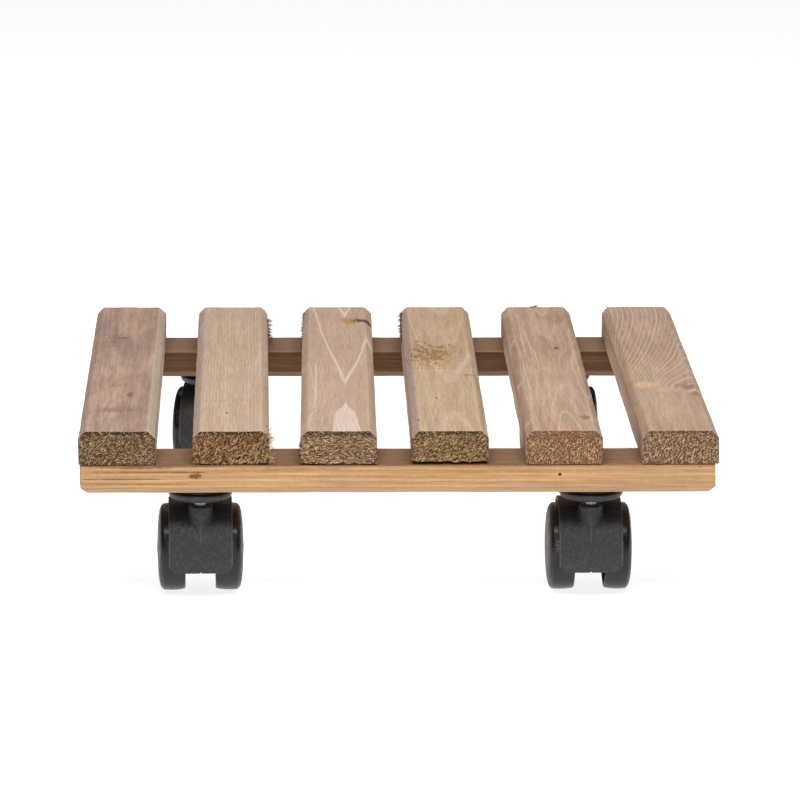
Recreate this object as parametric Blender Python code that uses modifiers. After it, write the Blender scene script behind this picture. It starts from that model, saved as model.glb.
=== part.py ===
"""Plant pot caddy: six softwood slats on two battens, rolling on four twin-wheel swivel casters.

Frame, in metres: +X to the right, +Y to the back, +Z up. The origin is on the floor, under the
middle of the whole caddy's box. Every piece hangs from the empty "caddy_frame", which stands
under the middle of the deck.
"""

import math

import bmesh
import bpy
from mathutils import Matrix

# Deck boards
DECK_WIDTH = 0.374
DECK_DEPTH = 0.374
SLAT_WIDTH = 0.044
SLAT_THICKNESS = 0.0198
SLAT_CHAMFER = 0.0042
BATTEN_DEPTH = 0.0445
BATTEN_THICKNESS = 0.0175
BATTEN_CHAMFER = 0.004
BATTEN_INSET = 0.001
# How far each slat was nailed off its mark: (front end, rear end), to the right
SLAT_LAY = (
    (0.0, 0.0),
    (0.0007, 0.0002),
    (-0.0023, 0.0020),
    (-0.0030, -0.0002),
    (-0.0021, 0.0),
    (0.0, 0.0),
)

# Countersunk wood screws
SLAT_SCREW_LENGTH = 0.030
SLAT_SCREW_SHANK = 0.0019
SLAT_SCREW_HEAD = 0.0038
PLATE_SCREW_LENGTH = 0.018
PLATE_SCREW_SHANK = 0.0015
PLATE_SCREW_HEAD = 0.0028
PLATE_SCREW_COUNT = 3
PLATE_SCREW_CIRCLE = 0.010
SCREW_RIM = 0.0004

# Casters
CASTER_HEIGHT = 0.0669
CASTER_INSET = 0.072
CASTER_TRAIL = 0.018
PLATE_RADIUS = 0.019
PLATE_PAD_RADIUS = 0.0145
PLATE_PAD_HEIGHT = 0.0021
PLATE_FACE_RADIUS = 0.0132
PLATE_THICKNESS = 0.0049
STEM_RADIUS = 0.0038
STEM_HEAD_RADIUS = 0.0058
STEM_HEAD_THICKNESS = 0.0015
STEM_LENGTH = 0.0325
GROOVE_DEPTH = 0.0007
RING_WALL = 0.0015
RING_HEIGHT = 0.0016
RING_BELOW_RIM = 0.0045
RING_SLIT = 0.0022
SOCKET_WALL = 0.00305
SOCKET_TOP = 0.0552
SOCKET_FLOOR = 0.004
HOOD_WIDTH = 0.0376
HOOD_WALL = 0.002
HOOD_FRONT_EDGE = 0.0158
HOOD_REAR_EDGE = 0.034
HOOD_CORNER = 0.006
WEB_THICKNESS = 0.006
WHEEL_RADIUS = 0.0259
WHEEL_INNER_FACE = 0.009
WHEEL_TREAD_EDGE = 0.0214
WHEEL_RECESS_FLOOR = 0.0205
WHEEL_DOME_TOP = 0.0258
WHEEL_RIM_WALL = 0.0032
WHEEL_HUB_RADIUS = 0.0058
WHEEL_TO_HOOD = 0.0019
AXLE_RADIUS = 0.0024
AXLE_LENGTH = 0.0455

# Corner, turn of the trail from straight back (towards the left is positive), shift to the right
CASTERS = (
    ("front_left", -1, -1, math.radians(1.4), -0.0011),
    ("front_right", 1, -1, math.radians(0.5), -0.0007),
    ("rear_left", -1, 1, math.radians(-7.0), 0.0005),
    ("rear_right", 1, 1, math.radians(0.0), -0.0007),
)

# Clearances
SEAT_GAP = 0.0003
RUNNING_GAP = 0.0003
OVERRUN = 0.004
MERGE = 0.00001

# Facets round a circle
WHEEL_STEPS = 24
PLATE_STEPS = 24
HOOD_STEPS = 36
STEM_STEPS = 12
SOCKET_STEPS = 20
SCREW_STEPS = 8
CORNER_STEPS = 4

# Levels that follow
BATTEN_TOP = CASTER_HEIGHT + BATTEN_THICKNESS
SLAT_UNDERSIDE = BATTEN_TOP + SEAT_GAP
BATTEN_LINE = DECK_DEPTH / 2 - BATTEN_DEPTH / 2
CASTER_LINE = DECK_WIDTH / 2 - CASTER_INSET
HOOD_RADIUS = WHEEL_RADIUS + WHEEL_TO_HOOD + HOOD_WALL
PLATE_TOP = CASTER_HEIGHT - SEAT_GAP
PLATE_UNDERSIDE = PLATE_TOP - PLATE_PAD_HEIGHT - PLATE_THICKNESS
STEM_TOP = PLATE_TOP - SEAT_GAP
STEM_BOTTOM = STEM_TOP - STEM_LENGTH
BORE_RADIUS = STEM_RADIUS + RUNNING_GAP
SOCKET_RADIUS = BORE_RADIUS + SOCKET_WALL
RING_TOP = SOCKET_TOP - RING_BELOW_RIM
WHEEL_DOME = (
    (0.155, WHEEL_DOME_TOP - 0.0003),
    (0.540, WHEEL_DOME_TOP - 0.0007),
    (0.772, WHEEL_DOME_TOP - 0.0013),
    (0.888, WHEEL_DOME_TOP - 0.0020),
    (0.955, WHEEL_DOME_TOP - 0.0029),
)


def clear_scene():
    """Remove every object, so that the script can be run again."""
    for old in list(bpy.data.objects):
        bpy.data.objects.remove(old, do_unlink=True)


def new_collection(name):
    """A collection of this name in the scene."""
    made = bpy.data.collections.new(name)
    bpy.context.scene.collection.children.link(made)
    return made


def new_material(name, color, roughness, metallic=0.0):
    """A plain Principled material."""
    made = bpy.data.materials.new(name)
    made.use_nodes = True
    shader = made.node_tree.nodes["Principled BSDF"]
    shader.inputs["Base Color"].default_value = (*color, 1.0)
    shader.inputs["Roughness"].default_value = roughness
    shader.inputs["Metallic"].default_value = metallic
    made.diffuse_color = (*color, 1.0)
    return made


def new_empty(name, parent, location, turn=0.0):
    """A named axis that pieces hang from, turned about Z."""
    made = bpy.data.objects.new(name, None)
    made.location = location
    made.rotation_euler = (0.0, 0.0, turn)
    made.parent = parent
    parts.objects.link(made)
    return made


def place(obj, parent, location=(0.0, 0.0, 0.0), rotation=(0.0, 0.0, 0.0)):
    """Put an object under its parent, at a place and a turn in the parent's frame."""
    obj.parent = parent
    obj.location = location
    obj.rotation_euler = rotation
    return obj


def new_piece(name, mesh, material):
    """A piece of the caddy from a mesh."""
    if not mesh.materials:
        mesh.materials.append(material)
    made = bpy.data.objects.new(name, mesh)
    parts.objects.link(made)
    return made


def new_cutter(name, mesh):
    """A shape that only cuts or joins, and isn't a piece."""
    made = bpy.data.objects.new(name, mesh)
    made.hide_render = True
    made.display_type = "WIRE"
    cutters.objects.link(made)
    return made


def combine(target, other, operation):
    """Cut (DIFFERENCE), join (UNION) or keep the overlap of (INTERSECT) two closed shapes."""
    step = target.modifiers.new(other.name, "BOOLEAN")
    step.operation = operation
    step.solver = "EXACT"
    step.object = other


def box_mesh(name, low, high, soft_edges=None, radius=0.0, segments=1):
    """A box between two corners, with the edges that soft_edges picks bevelled."""
    shape = bmesh.new()
    bmesh.ops.create_cube(shape, size=1.0)
    size = [b - a for a, b in zip(low, high)]
    middle = [(a + b) / 2 for a, b in zip(low, high)]
    bmesh.ops.scale(shape, vec=size, verts=shape.verts)
    bmesh.ops.translate(shape, vec=middle, verts=shape.verts)
    if soft_edges:
        chosen = [edge for edge in shape.edges if soft_edges(edge, middle)]
        bmesh.ops.bevel(shape, geom=chosen, offset=radius, segments=segments, profile=0.5, affect="EDGES")
    mesh = bpy.data.meshes.new(name)
    shape.to_mesh(mesh)
    shape.free()
    return mesh


def drum_mesh(name, radius, low_x, high_x, center_y, center_z, steps):
    """A cylinder lying along X."""
    shape = bmesh.new()
    middle = Matrix.Translation(((low_x + high_x) / 2, center_y, center_z))
    bmesh.ops.create_cone(
        shape,
        cap_ends=True,
        segments=steps,
        radius1=radius,
        radius2=radius,
        depth=high_x - low_x,
        matrix=middle @ Matrix.Rotation(math.pi / 2, 4, "Y"),
    )
    mesh = bpy.data.meshes.new(name)
    shape.to_mesh(mesh)
    shape.free()
    return mesh


def turn_profile(obj, steps):
    """Sweep an outline once round its local Z."""
    turn = obj.modifiers.new("turned", "SCREW")
    turn.axis = "Z"
    turn.angle = math.tau
    turn.steps = steps
    turn.render_steps = steps
    turn.use_merge_vertices = True
    turn.merge_threshold = MERGE
    turn.use_smooth_shade = False


def outline_mesh(name, profile, closed=False):
    """The outline that a turned piece is swept from: (radius, height) points, top to bottom."""
    count = len(profile)
    edges = [(i, i + 1) for i in range(count - 1)]
    if closed:
        edges.append((count - 1, 0))
    mesh = bpy.data.meshes.new(name)
    mesh.from_pydata([(radius, 0.0, height) for radius, height in profile], edges, [])
    return mesh


def finished_mesh(obj):
    """The mesh that an object's modifiers make, ready to be shared by its copies."""
    graph = bpy.context.evaluated_depsgraph_get()
    mesh = bpy.data.meshes.new_from_object(obj.evaluated_get(graph))
    mesh.name = obj.name
    bpy.data.objects.remove(obj, do_unlink=True)
    mesh.shade_smooth()
    mesh.set_sharp_from_angle(angle=math.radians(30))
    return mesh


def turned_mesh(name, profile, steps, closed=False):
    """A turned solid as a mesh, its axis on Z."""
    blank = new_cutter(name, outline_mesh(name, profile, closed))
    turn_profile(blank, steps)
    return finished_mesh(blank)


def screw_profile(length, shank, head, gap=0.0, above=0.0):
    """A countersunk screw pointing down from a head at zero, grown by gap where it is a hole."""
    cone = head - shank
    top = [(0.0, above), (head + gap, above)] if above else [(0.0, 0.0), (head, 0.0)]
    return top + [
        (head + gap, -SCREW_RIM),
        (shank + gap, -SCREW_RIM - cone),
        (shank + gap, shank - length),
        (0.0, -length - gap),
    ]


def stem_profile():
    """The caster's steel stem, riveted head up, with the grip ring's groove near the socket's rim."""
    shoulder = STEM_TOP - STEM_HEAD_THICKNESS
    groove = STEM_RADIUS - GROOVE_DEPTH
    groove_top = RING_TOP + RUNNING_GAP
    groove_bottom = RING_TOP - RING_HEIGHT - RUNNING_GAP
    return [
        (0.0, STEM_TOP),
        (STEM_HEAD_RADIUS, STEM_TOP),
        (STEM_HEAD_RADIUS, shoulder),
        (STEM_RADIUS, shoulder - (STEM_HEAD_RADIUS - STEM_RADIUS)),
        (STEM_RADIUS, groove_top),
        (groove, groove_top),
        (groove, groove_bottom),
        (STEM_RADIUS, groove_bottom),
        (STEM_RADIUS, STEM_BOTTOM + STEM_RADIUS / 4),
        (STEM_RADIUS * 3 / 4, STEM_BOTTOM),
        (0.0, STEM_BOTTOM),
    ]


def stem_hole_profile():
    """The room for the stem's head and neck in the mounting plate."""
    head = STEM_HEAD_RADIUS + SEAT_GAP
    neck = STEM_RADIUS + SEAT_GAP
    shoulder = STEM_TOP - STEM_HEAD_THICKNESS - SEAT_GAP
    return [
        (0.0, PLATE_TOP + OVERRUN),
        (head, PLATE_TOP + OVERRUN),
        (head, shoulder),
        (neck, shoulder - (head - neck)),
        (neck, PLATE_UNDERSIDE - OVERRUN),
        (0.0, PLATE_UNDERSIDE - OVERRUN),
    ]


def socket_bore_profile():
    """The stem's bore in the hood, with the groove that the grip ring snaps into."""
    groove = STEM_RADIUS - GROOVE_DEPTH + RUNNING_GAP + RING_WALL + RUNNING_GAP
    return [
        (0.0, SOCKET_TOP + OVERRUN),
        (BORE_RADIUS, SOCKET_TOP + OVERRUN),
        (BORE_RADIUS, RING_TOP + RUNNING_GAP),
        (groove, RING_TOP + RUNNING_GAP),
        (groove, RING_TOP - RING_HEIGHT - RUNNING_GAP),
        (BORE_RADIUS, RING_TOP - RING_HEIGHT - RUNNING_GAP),
        (BORE_RADIUS, STEM_BOTTOM - RUNNING_GAP),
        (0.0, STEM_BOTTOM - RUNNING_GAP),
    ]


def plate_profile():
    """The mounting plate: a small pad against the wood, and a dished disc below it."""
    rim_top = PLATE_TOP - PLATE_PAD_HEIGHT
    return [
        (0.0, PLATE_TOP),
        (PLATE_PAD_RADIUS, PLATE_TOP),
        (PLATE_PAD_RADIUS, rim_top),
        (PLATE_RADIUS, rim_top),
        (PLATE_RADIUS - 0.0004, rim_top - PLATE_THICKNESS / 2),
        (PLATE_RADIUS - 0.0015, rim_top - PLATE_THICKNESS * 3 / 4),
        (PLATE_FACE_RADIUS, PLATE_UNDERSIDE),
        (0.0, PLATE_UNDERSIDE),
    ]


def ring_profile():
    """The grip ring's section, a closed loop."""
    inner = STEM_RADIUS - GROOVE_DEPTH + RUNNING_GAP
    outer = inner + RING_WALL
    bottom = RING_TOP - RING_HEIGHT
    return [(outer, RING_TOP), (outer, bottom), (inner, bottom), (inner, RING_TOP)]


def wheel_profile():
    """One wheel along its axle, height measured from the caster's middle: dome, tread, recess, hub, bore."""
    bore = AXLE_RADIUS + RUNNING_GAP
    bore_end = AXLE_LENGTH / 2 + RUNNING_GAP
    rim = WHEEL_RADIUS - WHEEL_RIM_WALL
    dome = [(share * WHEEL_RADIUS, height) for share, height in WHEEL_DOME]
    return [
        (0.0, WHEEL_DOME_TOP),
        *dome,
        (WHEEL_RADIUS, WHEEL_TREAD_EDGE),
        (WHEEL_RADIUS, WHEEL_INNER_FACE + 0.001),
        (WHEEL_RADIUS - 0.001, WHEEL_INNER_FACE),
        (rim, WHEEL_INNER_FACE),
        (rim, WHEEL_RECESS_FLOOR),
        (WHEEL_HUB_RADIUS, WHEEL_RECESS_FLOOR),
        (WHEEL_HUB_RADIUS, WHEEL_INNER_FACE + SEAT_GAP),
        (bore, WHEEL_INNER_FACE + SEAT_GAP),
        (bore, bore_end),
        (0.0, bore_end),
    ]


def hood_shape():
    """The caster's hood: a band round the wheels on a central web, with the stem's socket."""
    reach = HOOD_RADIUS + OVERRUN
    half = HOOD_WIDTH / 2
    hood = new_cutter("hood", drum_mesh("hood", HOOD_RADIUS, -half - OVERRUN, half + OVERRUN,
                                        CASTER_TRAIL, WHEEL_RADIUS, HOOD_STEPS))

    def lower_corners(edge, middle):
        one, two = edge.verts
        return one.co.x == two.co.x and one.co.z == two.co.z and one.co.z < middle[2]

    front = new_cutter("hood_front_outline", box_mesh(
        "hood_front_outline",
        (-half, CASTER_TRAIL - reach, HOOD_FRONT_EDGE),
        (half, CASTER_TRAIL, WHEEL_RADIUS + reach),
        lower_corners, HOOD_CORNER, CORNER_STEPS))
    rear = new_cutter("hood_rear_outline", box_mesh(
        "hood_rear_outline",
        (-half, CASTER_TRAIL - HOOD_WALL, HOOD_REAR_EDGE),
        (half, CASTER_TRAIL + reach, WHEEL_RADIUS + reach),
        lower_corners, HOOD_CORNER, CORNER_STEPS))
    combine(front, rear, "UNION")
    combine(hood, front, "INTERSECT")
    helpers = [front, rear]
    room = HOOD_RADIUS - HOOD_WALL
    for side, low, high in (("left", -half - OVERRUN * 2, -WEB_THICKNESS / 2),
                            ("right", WEB_THICKNESS / 2, half + OVERRUN * 2)):
        name = "wheel_room_" + side
        pocket = new_cutter(name, drum_mesh(name, room, low, high, CASTER_TRAIL, WHEEL_RADIUS, HOOD_STEPS))
        combine(hood, pocket, "DIFFERENCE")
        helpers.append(pocket)
    socket_bottom = STEM_BOTTOM - SOCKET_FLOOR
    socket = new_cutter("socket", turned_mesh("socket", [
        (0.0, SOCKET_TOP),
        (SOCKET_RADIUS, SOCKET_TOP),
        (SOCKET_RADIUS, socket_bottom),
        (0.0, socket_bottom),
    ], SOCKET_STEPS))
    spacer_reach = WHEEL_INNER_FACE - RUNNING_GAP
    spacer = new_cutter("axle_spacer", drum_mesh("axle_spacer", WHEEL_HUB_RADIUS, -spacer_reach,
                                                 spacer_reach, CASTER_TRAIL, WHEEL_RADIUS, STEM_STEPS))
    bore = new_cutter("socket_bore", turned_mesh("socket_bore", socket_bore_profile(), STEM_STEPS))
    axle_hole = new_cutter("axle_hole", drum_mesh("axle_hole", AXLE_RADIUS + RUNNING_GAP, -half, half,
                                                  CASTER_TRAIL, WHEEL_RADIUS, SCREW_STEPS))
    combine(hood, socket, "UNION")
    combine(hood, spacer, "UNION")
    combine(hood, bore, "DIFFERENCE")
    combine(hood, axle_hole, "DIFFERENCE")
    mesh = finished_mesh(hood)
    for helper in helpers + [socket, spacer, bore, axle_hole]:
        bpy.data.objects.remove(helper, do_unlink=True)
    return mesh


def plate_screw_hole():
    """The room for a plate screw, through the plate and into the batten."""
    return turned_mesh("plate_screw_hole", screw_profile(
        PLATE_SCREW_LENGTH, PLATE_SCREW_SHANK, PLATE_SCREW_HEAD, SEAT_GAP, OVERRUN), SCREW_STEPS)


def plate_shape(hole):
    """The mounting plate, with its screw holes and the hole for the stem."""
    plate = new_cutter("mounting_plate", turned_mesh("mounting_plate", plate_profile(), PLATE_STEPS))
    helpers = [new_cutter("stem_hole", turned_mesh("stem_hole", stem_hole_profile(), STEM_STEPS))]
    for number, (x, y) in enumerate(plate_screw_places()):
        cutter = new_cutter(f"plate_hole_{number}", hole)
        helpers.append(place(cutter, None, (x, y, PLATE_UNDERSIDE), (math.pi, 0.0, 0.0)))
    for helper in helpers:
        combine(plate, helper, "DIFFERENCE")
    bpy.context.view_layer.update()
    mesh = finished_mesh(plate)
    for helper in helpers:
        bpy.data.objects.remove(helper, do_unlink=True)
    return mesh


def ring_shape():
    """The split grip ring that holds the hood on its stem."""
    ring = new_cutter("grip_ring", turned_mesh("grip_ring", ring_profile(), STEM_STEPS, closed=True))
    slit = new_cutter("ring_slit", box_mesh(
        "ring_slit",
        (-RING_SLIT / 2, 0.0, RING_TOP - RING_HEIGHT - OVERRUN),
        (RING_SLIT / 2, SOCKET_RADIUS + OVERRUN, RING_TOP + OVERRUN)))
    combine(ring, slit, "DIFFERENCE")
    mesh = finished_mesh(ring)
    bpy.data.objects.remove(slit, do_unlink=True)
    return mesh


def plate_screw_places():
    """Where a mounting plate's screws go, round its middle."""
    step = math.tau / PLATE_SCREW_COUNT
    angles = [math.pi / 2 + step * number for number in range(PLATE_SCREW_COUNT)]
    return [(PLATE_SCREW_CIRCLE * math.cos(a), PLATE_SCREW_CIRCLE * math.sin(a)) for a in angles]


def slat_mark(number):
    """The X of a slat's middle line, before its lay."""
    pitch = (DECK_WIDTH - SLAT_WIDTH) / (len(SLAT_LAY) - 1)
    return -DECK_WIDTH / 2 + SLAT_WIDTH / 2 + pitch * number


def slat_turn(number):
    """How far a slat's lay turns it about Z."""
    front, rear = SLAT_LAY[number]
    return math.atan2(front - rear, DECK_DEPTH)


def slat_screw_x(number):
    """A slat's screw is on its middle line, or just clear of a mounting plate that would cover it."""
    mark = slat_mark(number)
    clear = PLATE_RADIUS + SLAT_SCREW_HEAD + 2 * SEAT_GAP
    offset = abs(mark) - CASTER_LINE
    if abs(offset) >= clear:
        return mark
    return math.copysign(CASTER_LINE + math.copysign(clear, offset), mark)


def hood_rear_reach(turn):
    """How far a turned hood's rear edge, with its rounded corners, stands behind the axle."""
    reaches = []
    for step in range(CORNER_STEPS + 1):
        corner = math.pi / 2 * step / CORNER_STEPS
        height = HOOD_REAR_EDGE + HOOD_CORNER * (1 - math.cos(corner)) - WHEEL_RADIUS
        across = HOOD_WIDTH / 2 - HOOD_CORNER * (1 - math.sin(corner))
        back = math.sqrt(HOOD_RADIUS**2 - height**2)
        reaches.append(back * math.cos(turn) + across * abs(math.sin(turn)))
    return max(reaches)


def deck_middle():
    """How far the middle of the whole caddy's box stands behind the middle of the deck."""
    front = max(DECK_DEPTH / 2 * math.cos(slat_turn(i)) + SLAT_WIDTH / 2 * abs(math.sin(slat_turn(i)))
                for i in range(len(SLAT_LAY)))
    rear = front
    for _, _, end, turn, _ in CASTERS:
        axle = end * BATTEN_LINE + CASTER_TRAIL * math.cos(turn)
        wheel = max(r * math.cos(turn) + z * abs(math.sin(turn)) for r, z in wheel_profile())
        rear = max(rear, axle + max(wheel, hood_rear_reach(turn)))
    return (rear - front) / 2


def build_boards(frame):
    """The six slats and the two battens under their ends."""
    def top_long_edges(edge, middle):
        one, two = edge.verts
        return one.co.x == two.co.x and one.co.z == two.co.z and one.co.z > middle[2]

    def bottom_edges(edge, middle):
        one, two = edge.verts
        return one.co.z == two.co.z and one.co.z < middle[2]

    boards = {}
    for number, (front, rear) in enumerate(SLAT_LAY):
        name = f"slat_{number + 1}"
        mesh = box_mesh(name, (-SLAT_WIDTH / 2, -DECK_DEPTH / 2, 0.0),
                        (SLAT_WIDTH / 2, DECK_DEPTH / 2, SLAT_THICKNESS), top_long_edges, SLAT_CHAMFER)
        middle = slat_mark(number) + (front + rear) / 2
        boards[name] = place(new_piece(name, mesh, timber), frame, (middle, 0.0, SLAT_UNDERSIDE),
                             (0.0, 0.0, slat_turn(number)))
    half = DECK_WIDTH / 2 - BATTEN_INSET
    for name, end in (("front_batten", -1), ("rear_batten", 1)):
        mesh = box_mesh(name, (-half, -BATTEN_DEPTH / 2, CASTER_HEIGHT),
                        (half, BATTEN_DEPTH / 2, BATTEN_TOP), bottom_edges, BATTEN_CHAMFER)
        boards[name] = place(new_piece(name, mesh, timber), frame, (0.0, end * BATTEN_LINE, 0.0))
    return boards


def build_slat_screws(frame, boards):
    """One countersunk screw up through the batten into each end of each slat."""
    screw = turned_mesh("slat_screw", screw_profile(
        SLAT_SCREW_LENGTH, SLAT_SCREW_SHANK, SLAT_SCREW_HEAD), SCREW_STEPS)
    hole = turned_mesh("slat_screw_hole", screw_profile(
        SLAT_SCREW_LENGTH, SLAT_SCREW_SHANK, SLAT_SCREW_HEAD, SEAT_GAP, OVERRUN), SCREW_STEPS)
    for side, end in (("front", -1), ("rear", 1)):
        for number in range(len(SLAT_LAY)):
            spot = (slat_screw_x(number), end * BATTEN_LINE, CASTER_HEIGHT)
            up = (math.pi, 0.0, 0.0)
            name = f"slat_screw_{side}_{number + 1}"
            place(new_piece(name, screw, bright_steel), frame, spot, up)
            cutter = place(new_cutter(name + "_hole", hole), frame, spot, up)
            combine(boards[f"slat_{number + 1}"], cutter, "DIFFERENCE")
            combine(boards[side + "_batten"], cutter, "DIFFERENCE")


def build_casters(frame, boards):
    """Four twin-wheel swivel casters, each screwed under a batten."""
    screw_hole = plate_screw_hole()
    plate = plate_shape(screw_hole)
    stem = turned_mesh("stem", stem_profile(), STEM_STEPS)
    ring = ring_shape()
    hood = hood_shape()
    wheel = turned_mesh("wheel", wheel_profile(), WHEEL_STEPS)
    axle = drum_mesh("axle", AXLE_RADIUS, -AXLE_LENGTH / 2, AXLE_LENGTH / 2, 0.0, 0.0, SCREW_STEPS)
    screw = turned_mesh("plate_screw", screw_profile(
        PLATE_SCREW_LENGTH, PLATE_SCREW_SHANK, PLATE_SCREW_HEAD), SCREW_STEPS)
    for corner, side, end, turn, shift in CASTERS:
        x = side * CASTER_LINE + shift
        y = end * BATTEN_LINE
        seat = new_empty(corner + "_seat", frame, (x, y, 0.0))
        place(new_piece(corner + "_mounting_plate", plate, black_nylon), seat)
        place(new_piece(corner + "_stem", stem, bright_steel), seat)
        place(new_piece(corner + "_grip_ring", ring, bright_steel), seat)
        for number, (dx, dy) in enumerate(plate_screw_places()):
            name = f"{corner}_plate_screw_{number + 1}"
            spot = (dx, dy, PLATE_UNDERSIDE)
            place(new_piece(name, screw, bright_steel), seat, spot, (math.pi, 0.0, 0.0))
            cutter = place(new_cutter(name + "_pilot", screw_hole), seat, spot, (math.pi, 0.0, 0.0))
            combine(boards["front_batten" if end < 0 else "rear_batten"], cutter, "DIFFERENCE")
        swivel = new_empty(corner + "_swivel", frame, (x, y, 0.0), turn)
        place(new_piece(corner + "_hood", hood, black_nylon), swivel)
        spin = new_empty(corner + "_axle_line", swivel, (0.0, CASTER_TRAIL, WHEEL_RADIUS))
        place(new_piece(corner + "_axle", axle, bright_steel), spin)
        for name, outward in (("left", -1), ("right", 1)):
            piece = new_piece(f"{corner}_wheel_{name}", wheel, gloss_nylon)
            place(piece, spin, rotation=(0.0, outward * math.pi / 2, 0.0))


clear_scene()
parts = new_collection("plant_pot_caddy")
cutters = new_collection("cutters")
timber = new_material("timber", (0.45, 0.31, 0.19), 0.75)
black_nylon = new_material("black_nylon", (0.045, 0.045, 0.05), 0.55)
gloss_nylon = new_material("gloss_nylon", (0.03, 0.03, 0.033), 0.3)
bright_steel = new_material("bright_steel", (0.6, 0.6, 0.6), 0.3, 1.0)

caddy_frame = new_empty("caddy_frame", None, (0.0, -deck_middle(), 0.0))
deck_boards = build_boards(caddy_frame)
build_slat_screws(caddy_frame, deck_boards)
build_casters(caddy_frame, deck_boards)
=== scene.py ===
# %% [markdown]
# # A plant pot caddy of stained softwood on four twin-wheel casters
# The fixed frame already has every board, screw and caster part at its true size and place.
# This lesson gives each of them the detail and the finish of the real thing, one after another:
# first the studio, then small tools for meshes and for materials, then timber, and last nylon
# and steel.

# %% The fixed frame
import math

import bpy
import numpy as np
from mathutils import Matrix, Vector


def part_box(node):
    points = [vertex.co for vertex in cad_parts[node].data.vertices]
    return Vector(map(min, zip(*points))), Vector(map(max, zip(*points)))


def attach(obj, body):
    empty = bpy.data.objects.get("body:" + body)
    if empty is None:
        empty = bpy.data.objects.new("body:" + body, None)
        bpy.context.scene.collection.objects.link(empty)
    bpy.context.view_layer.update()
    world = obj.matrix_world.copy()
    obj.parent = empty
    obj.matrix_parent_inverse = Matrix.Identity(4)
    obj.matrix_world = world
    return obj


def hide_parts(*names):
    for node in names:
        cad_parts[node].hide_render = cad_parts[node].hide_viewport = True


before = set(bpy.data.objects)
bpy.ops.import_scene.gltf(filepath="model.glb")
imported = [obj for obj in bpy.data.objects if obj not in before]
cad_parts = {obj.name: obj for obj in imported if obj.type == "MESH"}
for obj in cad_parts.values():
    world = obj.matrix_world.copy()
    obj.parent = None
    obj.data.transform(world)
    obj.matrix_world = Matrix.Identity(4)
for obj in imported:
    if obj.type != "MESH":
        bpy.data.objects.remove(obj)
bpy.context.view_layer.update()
SLATS = [f"slat_{number}" for number in range(1, 7)]
BATTENS = ["front_batten", "rear_batten"]
CORNERS = ["front_left", "front_right", "rear_left", "rear_right"]

# %% [markdown]
# ## The studio
# A caddy for sale is lit by one big soft light above and in front of it, and stands on a white
# sweep. Light from high in front leaves the tops and the fronts bright and puts the casters'
# upper halves in the batten's shadow. A long lens from far away keeps the slats nearly parallel.

# %% Camera
deck_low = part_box(SLATS[0])[0]
deck_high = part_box(SLATS[-1])[1]
deck_middle_y = (deck_low.y + deck_high.y) / 2
LENS = 233.03
CAMERA_ACROSS = -0.07247
CAMERA_BACK = 3.13836
CAMERA_UP = 0.76217
pitch = math.radians(12.212)
yaw = math.radians(1.423)
roll = math.radians(0.207)
ahead = Vector((math.sin(yaw) * math.cos(pitch), math.cos(yaw) * math.cos(pitch), -math.sin(pitch)))
level = Vector((math.cos(yaw), -math.sin(yaw), 0.0))
upright = level.cross(ahead)
right = level * math.cos(roll) + upright * math.sin(roll)
up = upright * math.cos(roll) - level * math.sin(roll)
camera_data = bpy.data.cameras.new("front_camera")
camera_data.lens = LENS
camera_data.sensor_width = 36.0
camera_data.clip_end = 60.0
camera = bpy.data.objects.new("front_camera", camera_data)
turned = Matrix((right, up, -ahead)).transposed().to_4x4()
stand = (CAMERA_ACROSS, deck_middle_y - CAMERA_BACK, CAMERA_UP)
camera.matrix_world = Matrix.Translation(stand) @ turned
bpy.context.scene.collection.objects.link(camera)
bpy.context.scene.camera = camera
bpy.context.scene.view_settings.view_transform = "Standard"
print("camera at", [round(value, 3) for value in camera.location])


# %% Soft lights
def soft_light(name, place, target, width, height, power):
    """A rectangular softbox at a place, facing a target."""
    data = bpy.data.lights.new(name, "AREA")
    data.shape = "RECTANGLE"
    data.size = width
    data.size_y = height
    data.energy = power
    light = bpy.data.objects.new(name, data)
    light.location = place
    aim = Vector(target) - Vector(place)
    light.rotation_euler = aim.to_track_quat("-Z", "Y").to_euler()
    bpy.context.scene.collection.objects.link(light)
    return light


soft_light("overhead_softbox", (0.0, -0.95, 1.75), (0.0, 0.0, 0.05), 1.7, 1.0, 41.0)
soft_light("rear_softbox", (0.0, 1.0, 1.9), (0.0, 0.0, 0.05), 1.6, 0.8, 7.0)
# The strip only draws the highlights down the treads, so it is kept out of the diffuse light.
glint = soft_light("strip_light", (0.0, -2.7, 0.76), (0.0, -0.1, 0.40), 0.40, 1.5, 9.0)
glint.visible_diffuse = False

# %% White surroundings and floor
world = bpy.data.worlds.new("white_studio")
bpy.context.scene.world = world
world.use_nodes = True
air = world.node_tree
air.nodes.clear()


def backdrop(strength):
    """A white background of one strength."""
    node = air.nodes.new("ShaderNodeBackground")
    node.inputs["Strength"].default_value = strength
    node.inputs["Color"].default_value = (1.0, 1.0, 1.0, 1.0)
    return node


seen = backdrop(1.0)
felt = backdrop(0.05)
ray = air.nodes.new("ShaderNodeLightPath")
choose = air.nodes.new("ShaderNodeMixShader")
sky = air.nodes.new("ShaderNodeOutputWorld")
air.links.new(ray.outputs["Is Camera Ray"], choose.inputs[0])
air.links.new(felt.outputs[0], choose.inputs[1])
air.links.new(seen.outputs[0], choose.inputs[2])
air.links.new(choose.outputs[0], sky.inputs["Surface"])

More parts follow.
